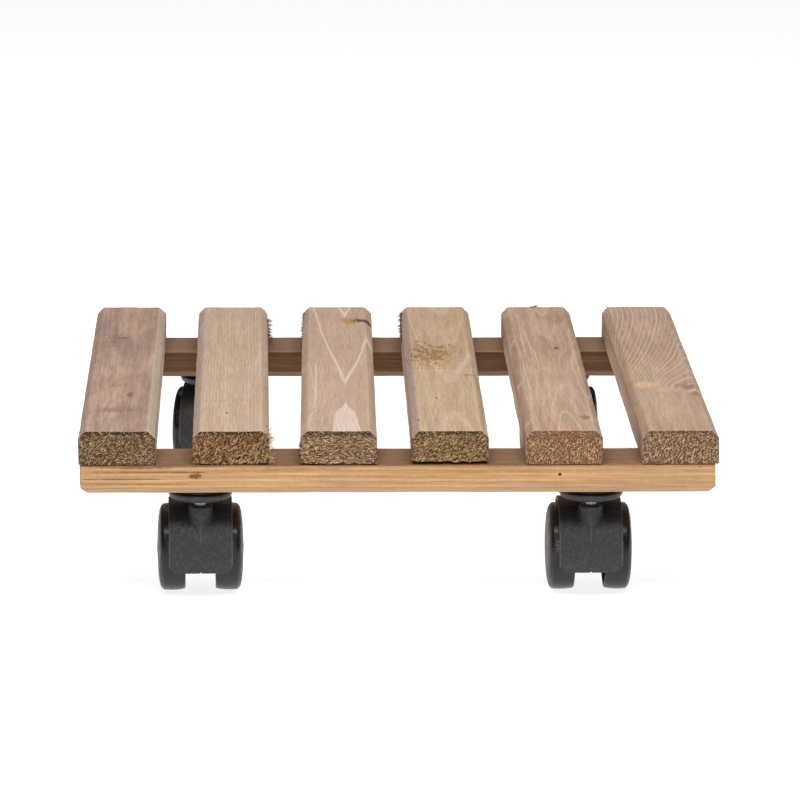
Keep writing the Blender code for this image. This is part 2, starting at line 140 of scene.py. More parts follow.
floor_mesh = bpy.data.meshes.new("white_sweep")
floor_mesh.from_pydata([(-9, -9, 0), (9, -9, 0), (9, 9, 0), (-9, 9, 0)], [], [(0, 1, 2, 3)])
floor = bpy.data.objects.new("white_sweep", floor_mesh)
bpy.context.scene.collection.objects.link(floor)
paper = bpy.data.materials.new("white_paper")
paper.use_nodes = True
paper_shader = paper.node_tree.nodes["Principled BSDF"]
paper_shader.inputs["Base Color"].default_value = (0.5, 0.5, 0.5, 1.0)
paper_shader.inputs["Roughness"].default_value = 0.9
paper_shader.inputs["Specular IOR Level"].default_value = 0.0
paper_shader.inputs["Emission Color"].default_value = (1.0, 1.0, 1.0, 1.0)
paper_shader.inputs["Emission Strength"].default_value = 0.86
floor_mesh.materials.append(paper)
print("floor:", floor.name)


# %% [markdown]
# ## Tools for meshes
# A sawn board, a turned wheel and a splinter are all one idea: a row of rings, each ring a closed
# loop of points. Working the rings out as arrays is quick, and closing the first and the last ring
# to a point leaves no gap, so every piece is a solid.

# %% A closed mesh from rings of points
def ring_faces(rows, columns, first=0):
    """Quads between neighbouring rings, each ring closing on itself."""
    row, column = np.meshgrid(np.arange(rows - 1), np.arange(columns), indexing="ij")
    after = (column + 1) % columns
    quads = [row * columns + column, row * columns + after, (row + 1) * columns + after,
             (row + 1) * columns + column]
    return first + np.stack(quads, axis=-1).reshape(-1, 4)


def solid_mesh(name, rings):
    """A closed mesh: rings (rows, columns, 3), with the middles of the first and last as poles."""
    rows, columns = rings.shape[:2]
    poles = np.array([rings[0].mean(axis=0), rings[-1].mean(axis=0)])
    points = np.concatenate([poles, rings.reshape(-1, 3)])
    column = np.arange(columns)
    after = (column + 1) % columns
    last = 2 + (rows - 1) * columns
    first_fan = np.stack([np.zeros_like(column), 2 + after, 2 + column], axis=-1)
    last_fan = np.stack([np.ones_like(column), last + column, last + after], axis=-1)
    faces = first_fan.tolist() + ring_faces(rows, columns, 2).tolist() + last_fan.tolist()
    mesh = bpy.data.meshes.new(name)
    mesh.from_pydata(points, [], faces)
    mesh.update()
    return mesh


def hollow_mesh(name, rings):
    """A closed tube mesh: rings (rows, columns, 3), the last ring joined back to the first."""
    closed = np.concatenate([rings, rings[:1]])
    rows, columns = rings.shape[:2]
    faces = ring_faces(rows + 1, columns) % (rows * columns)
    mesh = bpy.data.meshes.new(name)
    mesh.from_pydata(closed[:-1].reshape(-1, 3), [], faces.tolist())
    mesh.update()
    return mesh


def turned_rings(profile, steps):
    """A profile of (radius, height) pairs carried round the Z axis in steps."""
    angle = np.linspace(0.0, math.tau, steps, endpoint=False)
    radius, height = np.asarray(profile, float).T
    x = radius[:, None] * np.cos(angle)
    y = radius[:, None] * np.sin(angle)
    z = np.repeat(height[:, None], steps, axis=1)
    return np.stack([x, y, z], axis=-1)


def eased(profile, ease, steps=4, closed=False):
    """A profile with each corner cut back by ease and rounded by a quadratic curve."""
    points = np.asarray(profile, float)
    count = len(points)
    inner = range(count) if closed else range(1, count - 1)
    share = np.linspace(0.0, 1.0, steps)[:, None]
    run = [] if closed else [points[:1]]
    for index in inner:
        before, corner, after = points[index - 1], points[index], points[(index + 1) % count]
        back, on = before - corner, after - corner
        reach = min(ease, np.linalg.norm(back) * 0.45, np.linalg.norm(on) * 0.45)
        start = corner + back / np.linalg.norm(back) * reach
        end = corner + on / np.linalg.norm(on) * reach
        run.append((1 - share) ** 2 * start + 2 * share * (1 - share) * corner + share**2 * end)
    if not closed:
        run.append(points[-1:])
    return np.concatenate(run)


def rough(points, seed, scale, octaves=3):
    """Smooth noise from -1 to 1: sines along seeded random directions, halved at each octave."""
    random = np.random.default_rng(seed)
    total = np.zeros(points.shape[:-1])
    for octave in range(octaves):
        directions = random.normal(size=(7, points.shape[-1])) * scale * 2.0**octave
        phases = random.uniform(0, math.tau, 7)
        total += np.sin(points @ directions.T + phases).sum(axis=-1) / 2.6 / 2.0**octave
    return np.clip(total / 1.6, -1.0, 1.0)


def add_piece(name, mesh, body, replaces=(), crease=35.0):
    """Puts a finished mesh in the scene as a piece that rides on a body."""
    mesh.shade_smooth()
    mesh.set_sharp_from_angle(angle=math.radians(crease))
    piece = bpy.data.objects.new(name, mesh)
    bpy.context.scene.collection.objects.link(piece)
    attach(piece, body)
    if replaces:
        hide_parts(*replaces)
    return piece


print("mesh tools ready")


# %% [markdown]
# ## Tools for materials
# A material is a small net of nodes. These helpers add one node each, so that a recipe below reads
# like a recipe. Colours are given as the numbers from 0 to 255 that a paint chip would have.

# %% Node helpers
def chip(red, green, blue):
    """A chip's 0 to 255 numbers as the linear colour that a shader takes."""
    share = np.array([red, green, blue]) / 255.0
    linear = np.where(share <= 0.04045, share / 12.92, ((share + 0.055) / 1.055) ** 2.4)
    return (*linear.tolist(), 1.0)


def feed(tree, node, inputs):
    """Links or sets a node's inputs, given as (input, value) pairs."""
    for socket, value in inputs:
        if isinstance(value, bpy.types.NodeSocket):
            tree.links.new(value, node.inputs[socket])
        else:
            node.inputs[socket].default_value = value
    return node


def put(tree, kind, inputs=(), **settings):
    """Adds a node with these options and feeds its inputs."""
    node = tree.nodes.new("ShaderNode" + kind)
    for option, value in settings.items():
        setattr(node, option, value)
    return feed(tree, node, inputs)


def calc(tree, operation, first, second=0.0, third=0.0):
    """One sum on up to three values."""
    inputs = ((0, first), (1, second), (2, third))
    return put(tree, "Math", inputs, operation=operation).outputs[0]


def times(tree, first, second):
    """The product of two values."""
    return calc(tree, "MULTIPLY", first, second)


def minus(tree, first, second):
    """The first value less the second."""
    return calc(tree, "SUBTRACT", first, second)


def ease_between(tree, value, low, high, to_low=0.0, to_high=1.0):
    """The value carried smoothly from the low-to-high range to another."""
    inputs = ((0, value), (1, low), (2, high), (3, to_low), (4, to_high))
    return put(tree, "MapRange", inputs, interpolation_type="SMOOTHSTEP").outputs[0]


def tint(tree, share, under, over, kind="MIX"):
    """Lays one colour over another by a share."""
    inputs = ((0, share), (6, under), (7, over))
    return put(tree, "Mix", inputs, data_type="RGBA", blend_type=kind).outputs[2]


def stretched(tree, vector, scale):
    """The vector with its three directions scaled apart, which draws noise out into streaks."""
    inputs = ((0, vector), (1, scale))
    return put(tree, "VectorMath", inputs, operation="MULTIPLY").outputs[0]


def grain_noise(tree, vector, scale, detail=3.0, roughness=0.55):
    """Noise over a stretched vector, from 0 to 1."""
    inputs = (("Vector", stretched(tree, vector, scale)), ("Scale", 1.0), ("Detail", detail),
              ("Roughness", roughness))
    return put(tree, "TexNoise", inputs)


def new_group(name, inputs, outputs):
    """An empty node group with named inputs (name, kind, value) and outputs (name, kind)."""
    group = bpy.data.node_groups.new(name, "ShaderNodeTree")
    for label, kind, value in inputs:
        socket = group.interface.new_socket(label, in_out="INPUT", socket_type="NodeSocket" + kind)
        if value is not None:
            socket.default_value = value
    for label, kind in outputs:
        group.interface.new_socket(label, in_out="OUTPUT", socket_type="NodeSocket" + kind)
    return group, group.nodes.new("NodeGroupInput"), group.nodes.new("NodeGroupOutput")


def use_group(tree, group, inputs):
    """Places a node group in a material with its own values."""
    node = tree.nodes.new("ShaderNodeGroup")
    node.node_tree = group
    return feed(tree, node, inputs)


def new_finish(name):
    """An empty material, with its tree, its shader and the piece's own coordinates."""
    finish = bpy.data.materials.new(name)
    finish.use_nodes = True
    tree = finish.node_tree
    shader = tree.nodes["Principled BSDF"]
    place = tree.nodes.new("ShaderNodeTexCoord").outputs["Object"]
    return finish, tree, shader, place


def raise_bumps(tree, shader, height, strength, distance):
    """Makes a height shade as relief, distance metres deep."""
    inputs = (("Height", height), ("Strength", strength), ("Distance", distance))
    bump = put(tree, "Bump", inputs)
    tree.links.new(bump.outputs[0], shader.inputs["Normal"])


print("node helpers ready")

# %% [markdown]
# ## Timber
# Softwood grows in rings round a pith. A board shows where it cut through them: straight lines
# when it lies beside the pith, arches when the pith runs along under its face. So the figure is
# worked out in the solid: the distance from a pith line that leans and dives along the board,
# divided by the width of a year's ring. Top, chamfers, sides and ends then agree with each other.
# A knot pushes the lines apart around it.

# %% Group: growth rings round a pith
rings_group, rings_in, rings_out = new_group(
    "growth_rings",
    [("Vector", "Vector", None), ("Pith Across", "Float", 0.0), ("Pith Depth", "Float", -0.04),
     ("Lean", "Float", 0.0), ("Taper", "Float", 0.0), ("Turning Point", "Float", 0.0),
     ("Ring Width", "Float", 0.003), ("Line Width", "Float", 0.2), ("Wobble", "Float", 0.001),
     ("Knot", "Vector", None), ("Knot Reach", "Float", 0.001), ("Roundness", "Float", 2.0)],
    [("Line", "Float"), ("Late Wood", "Float"), ("Ring Shade", "Float")])


def build_rings(tree, given, result):
    """Distance from the pith line over the ring width; its fraction makes the lines.

    Roundness is the power in the distance: 2 gives round arches, and less gives pointed ones."""
    parts = put(tree, "SeparateXYZ", ((0, given["Vector"]),))
    knot = put(tree, "SeparateXYZ", ((0, given["Knot"]),))
    drift = grain_noise(tree, given["Vector"], (17.0, 6.0, 17.0), 1.5, 0.5).outputs["Color"]
    drift_parts = put(tree, "SeparateColor", ((0, drift),))
    tremor = grain_noise(tree, given["Vector"], (90.0, 34.0, 90.0), 2.0).outputs["Fac"]
    sway = calc(tree, "MULTIPLY_ADD", minus(tree, drift_parts.outputs[0], 0.5),
                times(tree, given["Wobble"], 4.0),
                times(tree, minus(tree, tremor, 0.5), given["Wobble"]))
    heave = times(tree, minus(tree, drift_parts.outputs[2], 0.5),
                 times(tree, given["Wobble"], 2.5))
    x, y, z = parts.outputs
    knot_x = minus(tree, x, knot.outputs[0])
    knot_y = times(tree, minus(tree, y, knot.outputs[1]), 0.42)
    far = calc(tree, "ADD", times(tree, knot_x, knot_x), times(tree, knot_y, knot_y))
    reach = times(tree, given["Knot Reach"], given["Knot Reach"])
    near = calc(tree, "EXPONENT", times(tree, calc(tree, "DIVIDE", far, reach), -1.0))
    pushed = minus(tree, x, times(tree, times(tree, knot_x, near), 0.8))
    along = minus(tree, y, given["Turning Point"])
    run = calc(tree, "SQRT", calc(tree, "MULTIPLY_ADD", along, along, 0.0016))
    run = minus(tree, run, 0.04)
    dive = times(tree, run, given["Taper"])
    pith_x = calc(tree, "MULTIPLY_ADD", given["Lean"], run, given["Pith Across"])
    across = minus(tree, calc(tree, "ADD", pushed, sway), pith_x)
    depth = minus(tree, calc(tree, "ADD", z, heave), calc(tree, "ADD", given["Pith Depth"], dive))
    powers = [calc(tree, "POWER", calc(tree, "ABSOLUTE", reach),
                   given["Roundness"]) for reach in (across, depth)]
    radius = calc(tree, "POWER", calc(tree, "ADD", *powers), calc(tree, "DIVIDE", 1.0,
                                                                  given["Roundness"]))
    years = calc(tree, "DIVIDE", radius, given["Ring Width"])
    year = calc(tree, "FLOOR", years)
    season = minus(tree, years, year)
    chance = put(tree, "TexWhiteNoise", (("W", year),), noise_dimensions="1D").outputs["Value"]
    off_line = calc(tree, "ABSOLUTE", minus(tree, season, 0.5))
    line = ease_between(tree, off_line, times(tree, given["Line Width"], 0.2),
                        given["Line Width"], 1.0, 0.0)
    late = times(tree, ease_between(tree, season, 0.35, 0.92),
                ease_between(tree, season, 0.94, 1.0, 1.0, 0.0))
    tree.links.new(line, result["Line"])
    tree.links.new(late, result["Late Wood"])
    tree.links.new(chance, result["Ring Shade"])


build_rings(rings_group, rings_in.outputs, rings_out.inputs)
print("group:", rings_group.name, len(rings_group.nodes), "nodes")

# %% [markdown]
# Between the rings, wood is a bundle of fibres. Planing leaves them as long fine streaks, with
# broader light and dark stripes, dots where a resin duct is cut, and fuzz across the board where
# a blunt knife tore it. Weather and stain add soft blotches on top.

# %% Group: fibres and weather
fibre_group, fibre_in, fibre_out = new_group(
    "fibres_and_weather",
    [("Vector", "Vector", None)],
    [("Fine", "Float"), ("Broad", "Float"), ("Dots", "Float"), ("Fuzz", "Float"), ("Blotch", "Float"),
     ("Cloud", "Float")])


def build_fibres(tree, given, result):
    """Noise drawn out along the board for fibres, across it for fuzz, and left round for blotches."""
    place = given["Vector"]
    fine = grain_noise(tree, place, (1500.0, 42.0, 1500.0), 3.0, 0.6).outputs["Fac"]
    broad = grain_noise(tree, place, (190.0, 7.0, 190.0), 3.0, 0.6).outputs["Fac"]
    dots = grain_noise(tree, place, (900.0, 330.0, 900.0), 1.0, 0.4).outputs["Fac"]
    fuzz = grain_noise(tree, place, (160.0, 900.0, 500.0), 3.0, 0.7).outputs["Fac"]
    blotch = grain_noise(tree, place, (62.0, 21.0, 62.0), 3.0, 0.6).outputs["Fac"]
    cloud = grain_noise(tree, place, (24.0, 7.0, 24.0), 2.0, 0.5).outputs["Fac"]
    tree.links.new(fine, result["Fine"])
    tree.links.new(ease_between(tree, broad, 0.3, 0.7), result["Broad"])
    tree.links.new(ease_between(tree, dots, 0.73, 0.80), result["Dots"])
    tree.links.new(fuzz, result["Fuzz"])
    tree.links.new(ease_between(tree, blotch, 0.42, 0.68), result["Blotch"])
    tree.links.new(ease_between(tree, cloud, 0.35, 0.65), result["Cloud"])


build_fibres(fibre_group, fibre_in.outputs, fibre_out.inputs)
print("group:", fibre_group.name, len(fibre_group.nodes), "nodes")

# %% Group: a ragged patch, for knots, chips and stains
patch_group, patch_in, patch_out = new_group(
    "ragged_patch",
    [("Vector", "Vector", None), ("Centre", "Vector", None), ("Size", "Vector", None),
     ("Ragged", "Float", 0.3), ("Softness", "Float", 0.3)],
    [("Mask", "Float")])


def build_patch(tree, given, result):
    """An ellipsoid's distance, one at its skin, with noise added and its edge softened."""
    away = put(tree, "VectorMath", ((0, given["Vector"]), (1, given["Centre"])), operation="SUBTRACT")
    shares = put(tree, "VectorMath", ((0, away.outputs[0]), (1, given["Size"])), operation="DIVIDE")
    length = put(tree, "VectorMath", ((0, shares.outputs[0]),), operation="LENGTH").outputs["Value"]
    noise = grain_noise(tree, given["Vector"], (420.0, 130.0, 420.0), 4.0, 0.65).outputs["Fac"]
    torn = calc(tree, "MULTIPLY_ADD", minus(tree, noise, 0.5),
                times(tree, given["Ragged"], 4.0), length)
    low = minus(tree, 1.0, given["Softness"])
    tree.links.new(ease_between(tree, torn, low, 1.0, 1.0, 0.0), result["Mask"])


build_patch(patch_group, patch_in.outputs, patch_out.inputs)
print("group:", patch_group.name, len(patch_group.nodes), "nodes")


# %% [markdown]
# A board's own frame has X across it, Y along it towards the back (or the left, for a batten) and
# Z up, from the middle of the board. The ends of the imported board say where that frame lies.

# %% Where each board lies
def board_frame(node):
    """A board's middle and its turn about Z, from the middles of its two ends."""
    low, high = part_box(node)
    if node in BATTENS:
        return (low + high) / 2, math.pi / 2
    points = np.array([vertex.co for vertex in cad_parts[node].data.vertices])
    front = points[points[:, 1] < low.y + 0.001].mean(axis=0)
    rear = points[points[:, 1] > high.y - 0.001].mean(axis=0)
    return (low + high) / 2, math.atan2(front[0] - rear[0], rear[1] - front[1])


FRAMES = {node: board_frame(node) for node in SLATS + BATTENS}
for node, (middle, turn) in FRAMES.items():
    print(node, [round(value * 1000, 1) for value in middle], "mm, turned", round(math.degrees(turn), 2))


def board_vector(tree, place, node):
    """The board's own frame inside a material: moved to its middle, then turned back."""
    middle, turn = FRAMES[node]
    back = Matrix.Rotation(-turn, 3, "Z")
    inputs = ((0, place), ("Location", -(back @ middle)), ("Rotation", (0.0, 0.0, -turn)))
    return put(tree, "Mapping", inputs).outputs[0]


# %% [markdown]
# Each board came off a different log, so each gets its own numbers: its stain, the pith it was cut
# beside, how strong its lines are, and the marks that single it out. Patches are (across, along,
# size across, size along, raggedness, softness, colour, strength), in millimetres. A batten shows
# its front, so its patches give the height on that face in place of the distance across. The rear
# batten's tones are darkened as painted shade, for the shade under the slats, its top band less so.
# The front batten's dark top band is part stain and part painted shade from the slats beside it.

# %% What is particular to each board
PLAIN = dict(light=(196, 165, 140), dark=(176, 145, 120), line=(222, 196, 172), late=(140, 106, 78),
             pith=(5, -50), lean=0.0, taper=0.0, turning=0, ring=2.6, line_width=0.2, wobble=0.8,
             lines=0.5, lates=0.15, knot=(0, 900), knot_reach=1, blotch=(150, 122, 112), blotches=0.2,
             cloud=(205, 176, 152), clouds=0.25, dots=0.5, chamfer_left=None, chamfer_right=None,
             lines_from=None, roundness=2.0, top=None, foot=None, patches=())
BOARD_LOOKS = {
    "slat_1": dict(
        PLAIN, light=(202, 172, 154), dark=(168, 138, 122), line=(200, 174, 154), pith=(-60, -30),
        ring=3.1,
        lines=0.25, lates=0.12, wobble=1.4, blotch=(143, 120, 116), blotches=0.55, cloud=(187, 152, 122),
        clouds=0.35, dots=0.9, chamfer_right=(204, 186, 168),
        patches=((-1, -127, 16, 10, 0.5, 0.7, (137, 110, 98), 0.55),
                 (-8, 81, 9, 34, 0.5, 0.8, (138, 114, 112), 0.5),
                 (5.6, -85, 2.2, 9, 0.6, 0.5, (118, 88, 76), 0.7),
                 (-4.3, -56, 3.0, 12, 0.9, 0.6, (140, 108, 92), 0.5),
                 (-4, 87, 3.4, 4, 0.9, 0.5, (122, 92, 80), 0.6),
                 (1, -165, 12, 22, 0.5, 0.9, (190, 160, 132), 0.5))),
    "slat_2": dict(
        PLAIN, light=(210, 184, 160), dark=(194, 165, 139), line=(216, 195, 174), pith=(75, -20),
        ring=1.9,
        lines=0.5, lates=0.32, wobble=0.35, blotches=0.10, clouds=0.15, late=(176, 143, 112),
        chamfer_left=(190, 168, 152),
        patches=((-2.7, -136, 0.8, 3.2, 0.2, 0.4, (96, 66, 46), 0.9),
                 (9.2, 12, 0.8, 2.6, 0.2, 0.4, (232, 214, 196), 0.8),
                 (0, -100, 26, 1.4, 0.5, 0.5, (176, 144, 118), 0.5),
                 (-19, 110, 2.6, 60, 0.8, 0.6, (202, 190, 182), 0.5))),
    "slat_3": dict(
        PLAIN, light=(205, 176, 154), dark=(194, 164, 141), line=(234, 215, 200), pith=(5, -32.3),
        taper=0.062, turning=-80, ring=11.8, line_width=0.056, wobble=1.0, lines=0.85, lates=0.08,
        roundness=1.3,
        blotches=0.12, clouds=0.2,
        patches=((4.2, -168, 7.8, 52, 0.0, 0.10, (226, 202, 189), 0.85),
                 (-13.5, -60, 0.8, 110, 0.45, 0.6, (228, 208, 194), 0.75),
                 (9, 142, 9, 12, 0.35, 0.5, (186, 140, 96), 0.8),
                 (17.5, 142, 8, 7, 0.55, 0.45, (92, 60, 40), 0.9),
                 (-19, 120, 3, 60, 0.7, 0.6, (196, 182, 172), 0.5))),
    "slat_4": dict(
        PLAIN, light=(208, 180, 150), dark=(190, 158, 128), line=(216, 194, 170), pith=(4, -36),
        taper=0.03,
        turning=-90, ring=2.9, line_width=0.16, wobble=1.1, lines=0.45, lates=0.10, dots=0.9,
        chamfer_left=(182, 160, 150), blotches=0.15, cloud=(208, 178, 140), clouds=0.35,
        patches=((-4, 33, 17, 42, 0.7, 0.7, (196, 157, 108), 0.85),
                 (-7, 38, 12, 26, 1.7, 0.5, (150, 112, 74), 0.8),
                 (16, -28, 6, 2.2, 0.5, 0.4, (150, 108, 66), 0.75),
                 (-8, -8, 22, 1.6, 0.5, 0.5, (160, 124, 92), 0.4),
                 (-19.3, -75, 3.0, 40, 0.3, 0.7, (182, 160, 160), 0.6),
                 (-5.9, -95, 0.8, 3.0, 0.2, 0.4, (92, 66, 50), 0.85),
                 (-18, -156, 0.8, 3.0, 0.2, 0.4, (92, 66, 50), 0.85))),
    "slat_5": dict(
        PLAIN, light=(206, 174, 151), dark=(178, 145, 121), line=(219, 197, 180), pith=(3.5, -21),
        taper=0.040, turning=10, ring=2.5, line_width=0.10, wobble=1.2, lines=0.55, lates=0.12,
        roundness=1.65,
        knot=(7, 53), knot_reach=10, blotches=0.25, clouds=0.3,
        patches=((6.8, 53, 2.2, 6, 0.5, 0.4, (128, 88, 62), 0.85),
                 (12, 150, 9, 26, 0.5, 0.7, (160, 126, 104), 0.45),
                 (3.6, -62, 6.5, 20, 0.4, 0.8, (222, 196, 180), 0.35),
                 (-13.5, 70, 0.5, 110, 0.5, 0.7, (226, 205, 188), 0.7),
                 (-9.5, 20, 0.4, 100, 0.6, 0.7, (226, 205, 188), 0.6),
                 (-15.5, -60, 0.5, 90, 0.5, 0.7, (222, 200, 184), 0.6),
                 (-4.5, 110, 0.4, 60, 0.6, 0.7, (222, 200, 184), 0.5),
                 (14, -150, 3.5, 7, 0.7, 0.5, (120, 84, 58), 0.6))),
    "slat_6": dict(
        PLAIN, light=(197, 167, 144), dark=(176, 145, 121), line=(224, 201, 182), pith=(-72, -40),
        lean=-0.16,
        turning=170, ring=2.6, line_width=0.19, wobble=0.7, lines=0.8, lates=0.10, knot=(16, -56),
        knot_reach=26, lines_from=(-62, 1.15), blotches=0.25, clouds=0.3,
        patches=((-12, -58, 9, 13, 0.25, 0.6, (222, 184, 144), 0.85),
                 (1, -72, 13, 9, 0.4, 0.7, (214, 176, 140), 0.65),
                 (-4, -130, 22, 50, 0.3, 0.9, (206, 174, 150), 0.5),
                 (13, -62, 8, 13, 0.5, 0.7, (150, 116, 94), 0.7),
                 (17, -84, 4, 7, 0.5, 0.6, (132, 98, 76), 0.6))),
    "front_batten": dict(
        PLAIN, light=(217, 173, 122), dark=(196, 150, 103), line=(168, 118, 74), late=(146, 96, 54),
        pith=(4, -70), ring=3.2, line_width=0.16, wobble=1.0, lines=0.7, lates=0.7, knot=(-22, 118),
        knot_reach=8, blotch=(178, 140, 112), blotches=0.35, cloud=(222, 182, 132), clouds=0.4,
        # top is the top face's dark tone between the slats: part stain, part painted shade from the slats
        # on either side.
        top=(110, 83, 66), foot=(184, 148, 114),
        patches=((0, -150, 14, 70, 0.3, 0.9, (188, 148, 112), 0.6),
                 (2.4, 118, 1.5, 4.0, 0.9, 0.5, (104, 68, 40), 0.85),
                 (4.6, 140, 0.5, 46, 0.5, 0.6, (122, 78, 44), 0.8),
                 (0.4, 160, 0.45, 34, 0.5, 0.6, (128, 84, 48), 0.8),
                 (-2.6, 150, 0.4, 40, 0.5, 0.6, (134, 90, 54), 0.7),
                 (1.8, 30, 0.4, 60, 0.5, 0.7, (160, 112, 70), 0.6),
                 (2.9, -94.7, 1.1, 1.3, 0.2, 0.4, (52, 30, 22), 0.95),
                 (7.6, 155, 1.6, 26, 0.5, 0.7, (120, 80, 52), 0.7),
                 (6.5, 60, 1.1, 40, 0.5, 0.7, (150, 104, 66), 0.5),
                 (-4.5, -150, 3.0, 26, 0.5, 0.9, (182, 146, 116), 0.5))),
    # The rear batten's chips are its timber darkened as painted shade, for the shade that falls under the
    # slats: its face most, its top band less.
    "rear_batten": dict(
        PLAIN, light=(98, 67, 40), dark=(76, 50, 28), line=(60, 38, 22), late=(62, 42, 28),
        pith=(-6, -64), ring=2.8, line_width=0.18, wobble=1.0, lines=0.6, lates=0.5, blotches=0.3,
        blotch=(78, 56, 42), cloud=(100, 72, 50), clouds=0.3, top=(140, 111, 88), foot=(128, 98, 74),
        patches=((1.0, -20, 2.2, 14, 0.5, 0.6, (72, 46, 30), 0.6),)),
}
print("looks for", len(BOARD_LOOKS), "boards")


# %% The planed face of a board
def mm(*values):
    """Millimetres as metres."""
    return [value / 1000.0 for value in values]


def add_rings(tree, vector, look):
    """The board's growth rings, from its own numbers."""
    pith_x, pith_z = mm(*look["pith"])
    knot_x, knot_y = mm(*look["knot"])
    inputs = (("Vector", vector), ("Pith Across", pith_x), ("Pith Depth", pith_z), ("Lean", look["lean"]),
              ("Taper", look["taper"]), ("Turning Point", look["turning"] / 1000.0),
              ("Ring Width", look["ring"] / 1000.0), ("Line Width", look["line_width"]),
              ("Wobble", look["wobble"] / 1000.0), ("Knot", (knot_x, knot_y, 0.0)),
              ("Knot Reach", look["knot_reach"] / 1000.0), ("Roundness", look["roundness"]))
    return use_group(tree, rings_group, inputs)


def add_patches(tree, vector, color, look):
    """Lays the board's patches over its colour, and returns it with the deepest patch's mask."""
    deepest = 0.0
    for across, along, wide, long, ragged, soft, shade, strength in look["patches"]:
        on_front = look["top"] is not None
        centre = mm(-22.2, along, across) if on_front else mm(across, along, 9)
        size = mm(8, long, wide) if on_front else mm(wide, long, 14)
        inputs = (("Vector", vector), ("Centre", centre), ("Size", size), ("Ragged", ragged),
                  ("Softness", soft))
        mask = times(tree, use_group(tree, patch_group, inputs).outputs[0], strength)
        color = tint(tree, mask, color, chip(*shade))
        deepest = calc(tree, "MAXIMUM", deepest, mask)
    return color, deepest


CHAMFER_EDGE = (0.0174, 0.0182)
TOP_BAND = 0.0009
FOOT_BAND = 0.0040


def face_finish(node):
    """The planed, stained face: stripes, rings, fibres, blotches, pale chamfers and patches."""
    look = BOARD_LOOKS[node]
    finish, tree, shader, place = new_finish(node + "_planed_timber")
    vector = board_vector(tree, place, node)
    rings = add_rings(tree, vector, look)
    fibres = use_group(tree, fibre_group, (("Vector", vector),))
    x, y, z = put(tree, "SeparateXYZ", ((0, vector),)).outputs
    color = tint(tree, fibres.outputs["Broad"], chip(*look["dark"]), chip(*look["light"]))
    color = tint(tree, times(tree, fibres.outputs["Cloud"], look["clouds"]), color, chip(*look["cloud"]))
    color = tint(tree, times(tree, fibres.outputs["Blotch"], look["blotches"]), color,
                 chip(*look["blotch"]))
    strength = calc(tree, "MULTIPLY_ADD", rings.outputs["Ring Shade"], 0.75, 0.25)
    line = times(tree, times(tree, rings.outputs["Line"], strength), look["lines"])
    late = times(tree, times(tree, rings.outputs["Late Wood"], strength), look["lates"])
    if look["lines_from"]:
        start, slope = look["lines_from"]
        reach = calc(tree, "MULTIPLY_ADD", x, slope, y)
        behind = ease_between(tree, reach, (start - 4) / 1000.0, (start + 4) / 1000.0)
        line = times(tree, line, behind)
    color = tint(tree, late, color, chip(*look["late"]))
    color = tint(tree, line, color, chip(*look["line"]))
    for side, sign in (("chamfer_left", -1.0), ("chamfer_right", 1.0)):
        if look[side]:
            edge = ease_between(tree, times(tree, x, sign), *CHAMFER_EDGE)
            color = tint(tree, times(tree, edge, 0.7), color, chip(*look[side]))
    half = (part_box(node)[1].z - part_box(node)[0].z) / 2
    # The top band tones a batten's top face: on the front batten part stain and part painted shade from
    # the slats, on the rear batten painted shade like the rest of it. The foot band tones its lowest four
    # millimetres.
    for band, sign, start in (("top", 1.0, half - TOP_BAND), ("foot", -1.0, half - FOOT_BAND)):
        if look[band]:
            wavy = calc(tree, "MULTIPLY_ADD", fibres.outputs["Blotch"], 0.0004, times(tree, z, sign))
            mask = ease_between(tree, wavy, start, start + 0.0006, 0.0, 0.82)
            color = tint(tree, mask, color, chip(*look[band]))
    color, marks = add_patches(tree, vector, color, look)
    shade = ease_between(tree, fibres.outputs["Fine"], 0.3, 0.7, 0.86, 1.10)
    shade = times(tree, shade, ease_between(tree, fibres.outputs["Fuzz"], 0.3, 0.7, 0.94, 1.05))
    gray = put(tree, "CombineColor", ((0, shade), (1, shade), (2, shade))).outputs[0]
    color = tint(tree, 1.0, color, gray, "MULTIPLY")
    dots = times(tree, fibres.outputs["Dots"], look["dots"])
    color = tint(tree, dots, color, chip(108, 78, 58))
    tree.links.new(color, shader.inputs["Base Color"])
    tree.links.new(ease_between(tree, fibres.outputs["Fine"], 0.3, 0.7, 0.82, 0.62),
                   shader.inputs["Roughness"])
    shader.inputs["Specular IOR Level"].default_value = 0.25
    height = calc(tree, "MULTIPLY_ADD", line, 0.5, fibres.outputs["Fine"])
    height = calc(tree, "MULTIPLY_ADD", fibres.outputs["Fuzz"], calc(tree, "MULTIPLY_ADD", marks, 2.2,
                                                                     0.5), height)
    height = calc(tree, "MULTIPLY_ADD", dots, -1.0, height)
    raise_bumps(tree, shader, height, 0.55, 0.0003)
    return finish
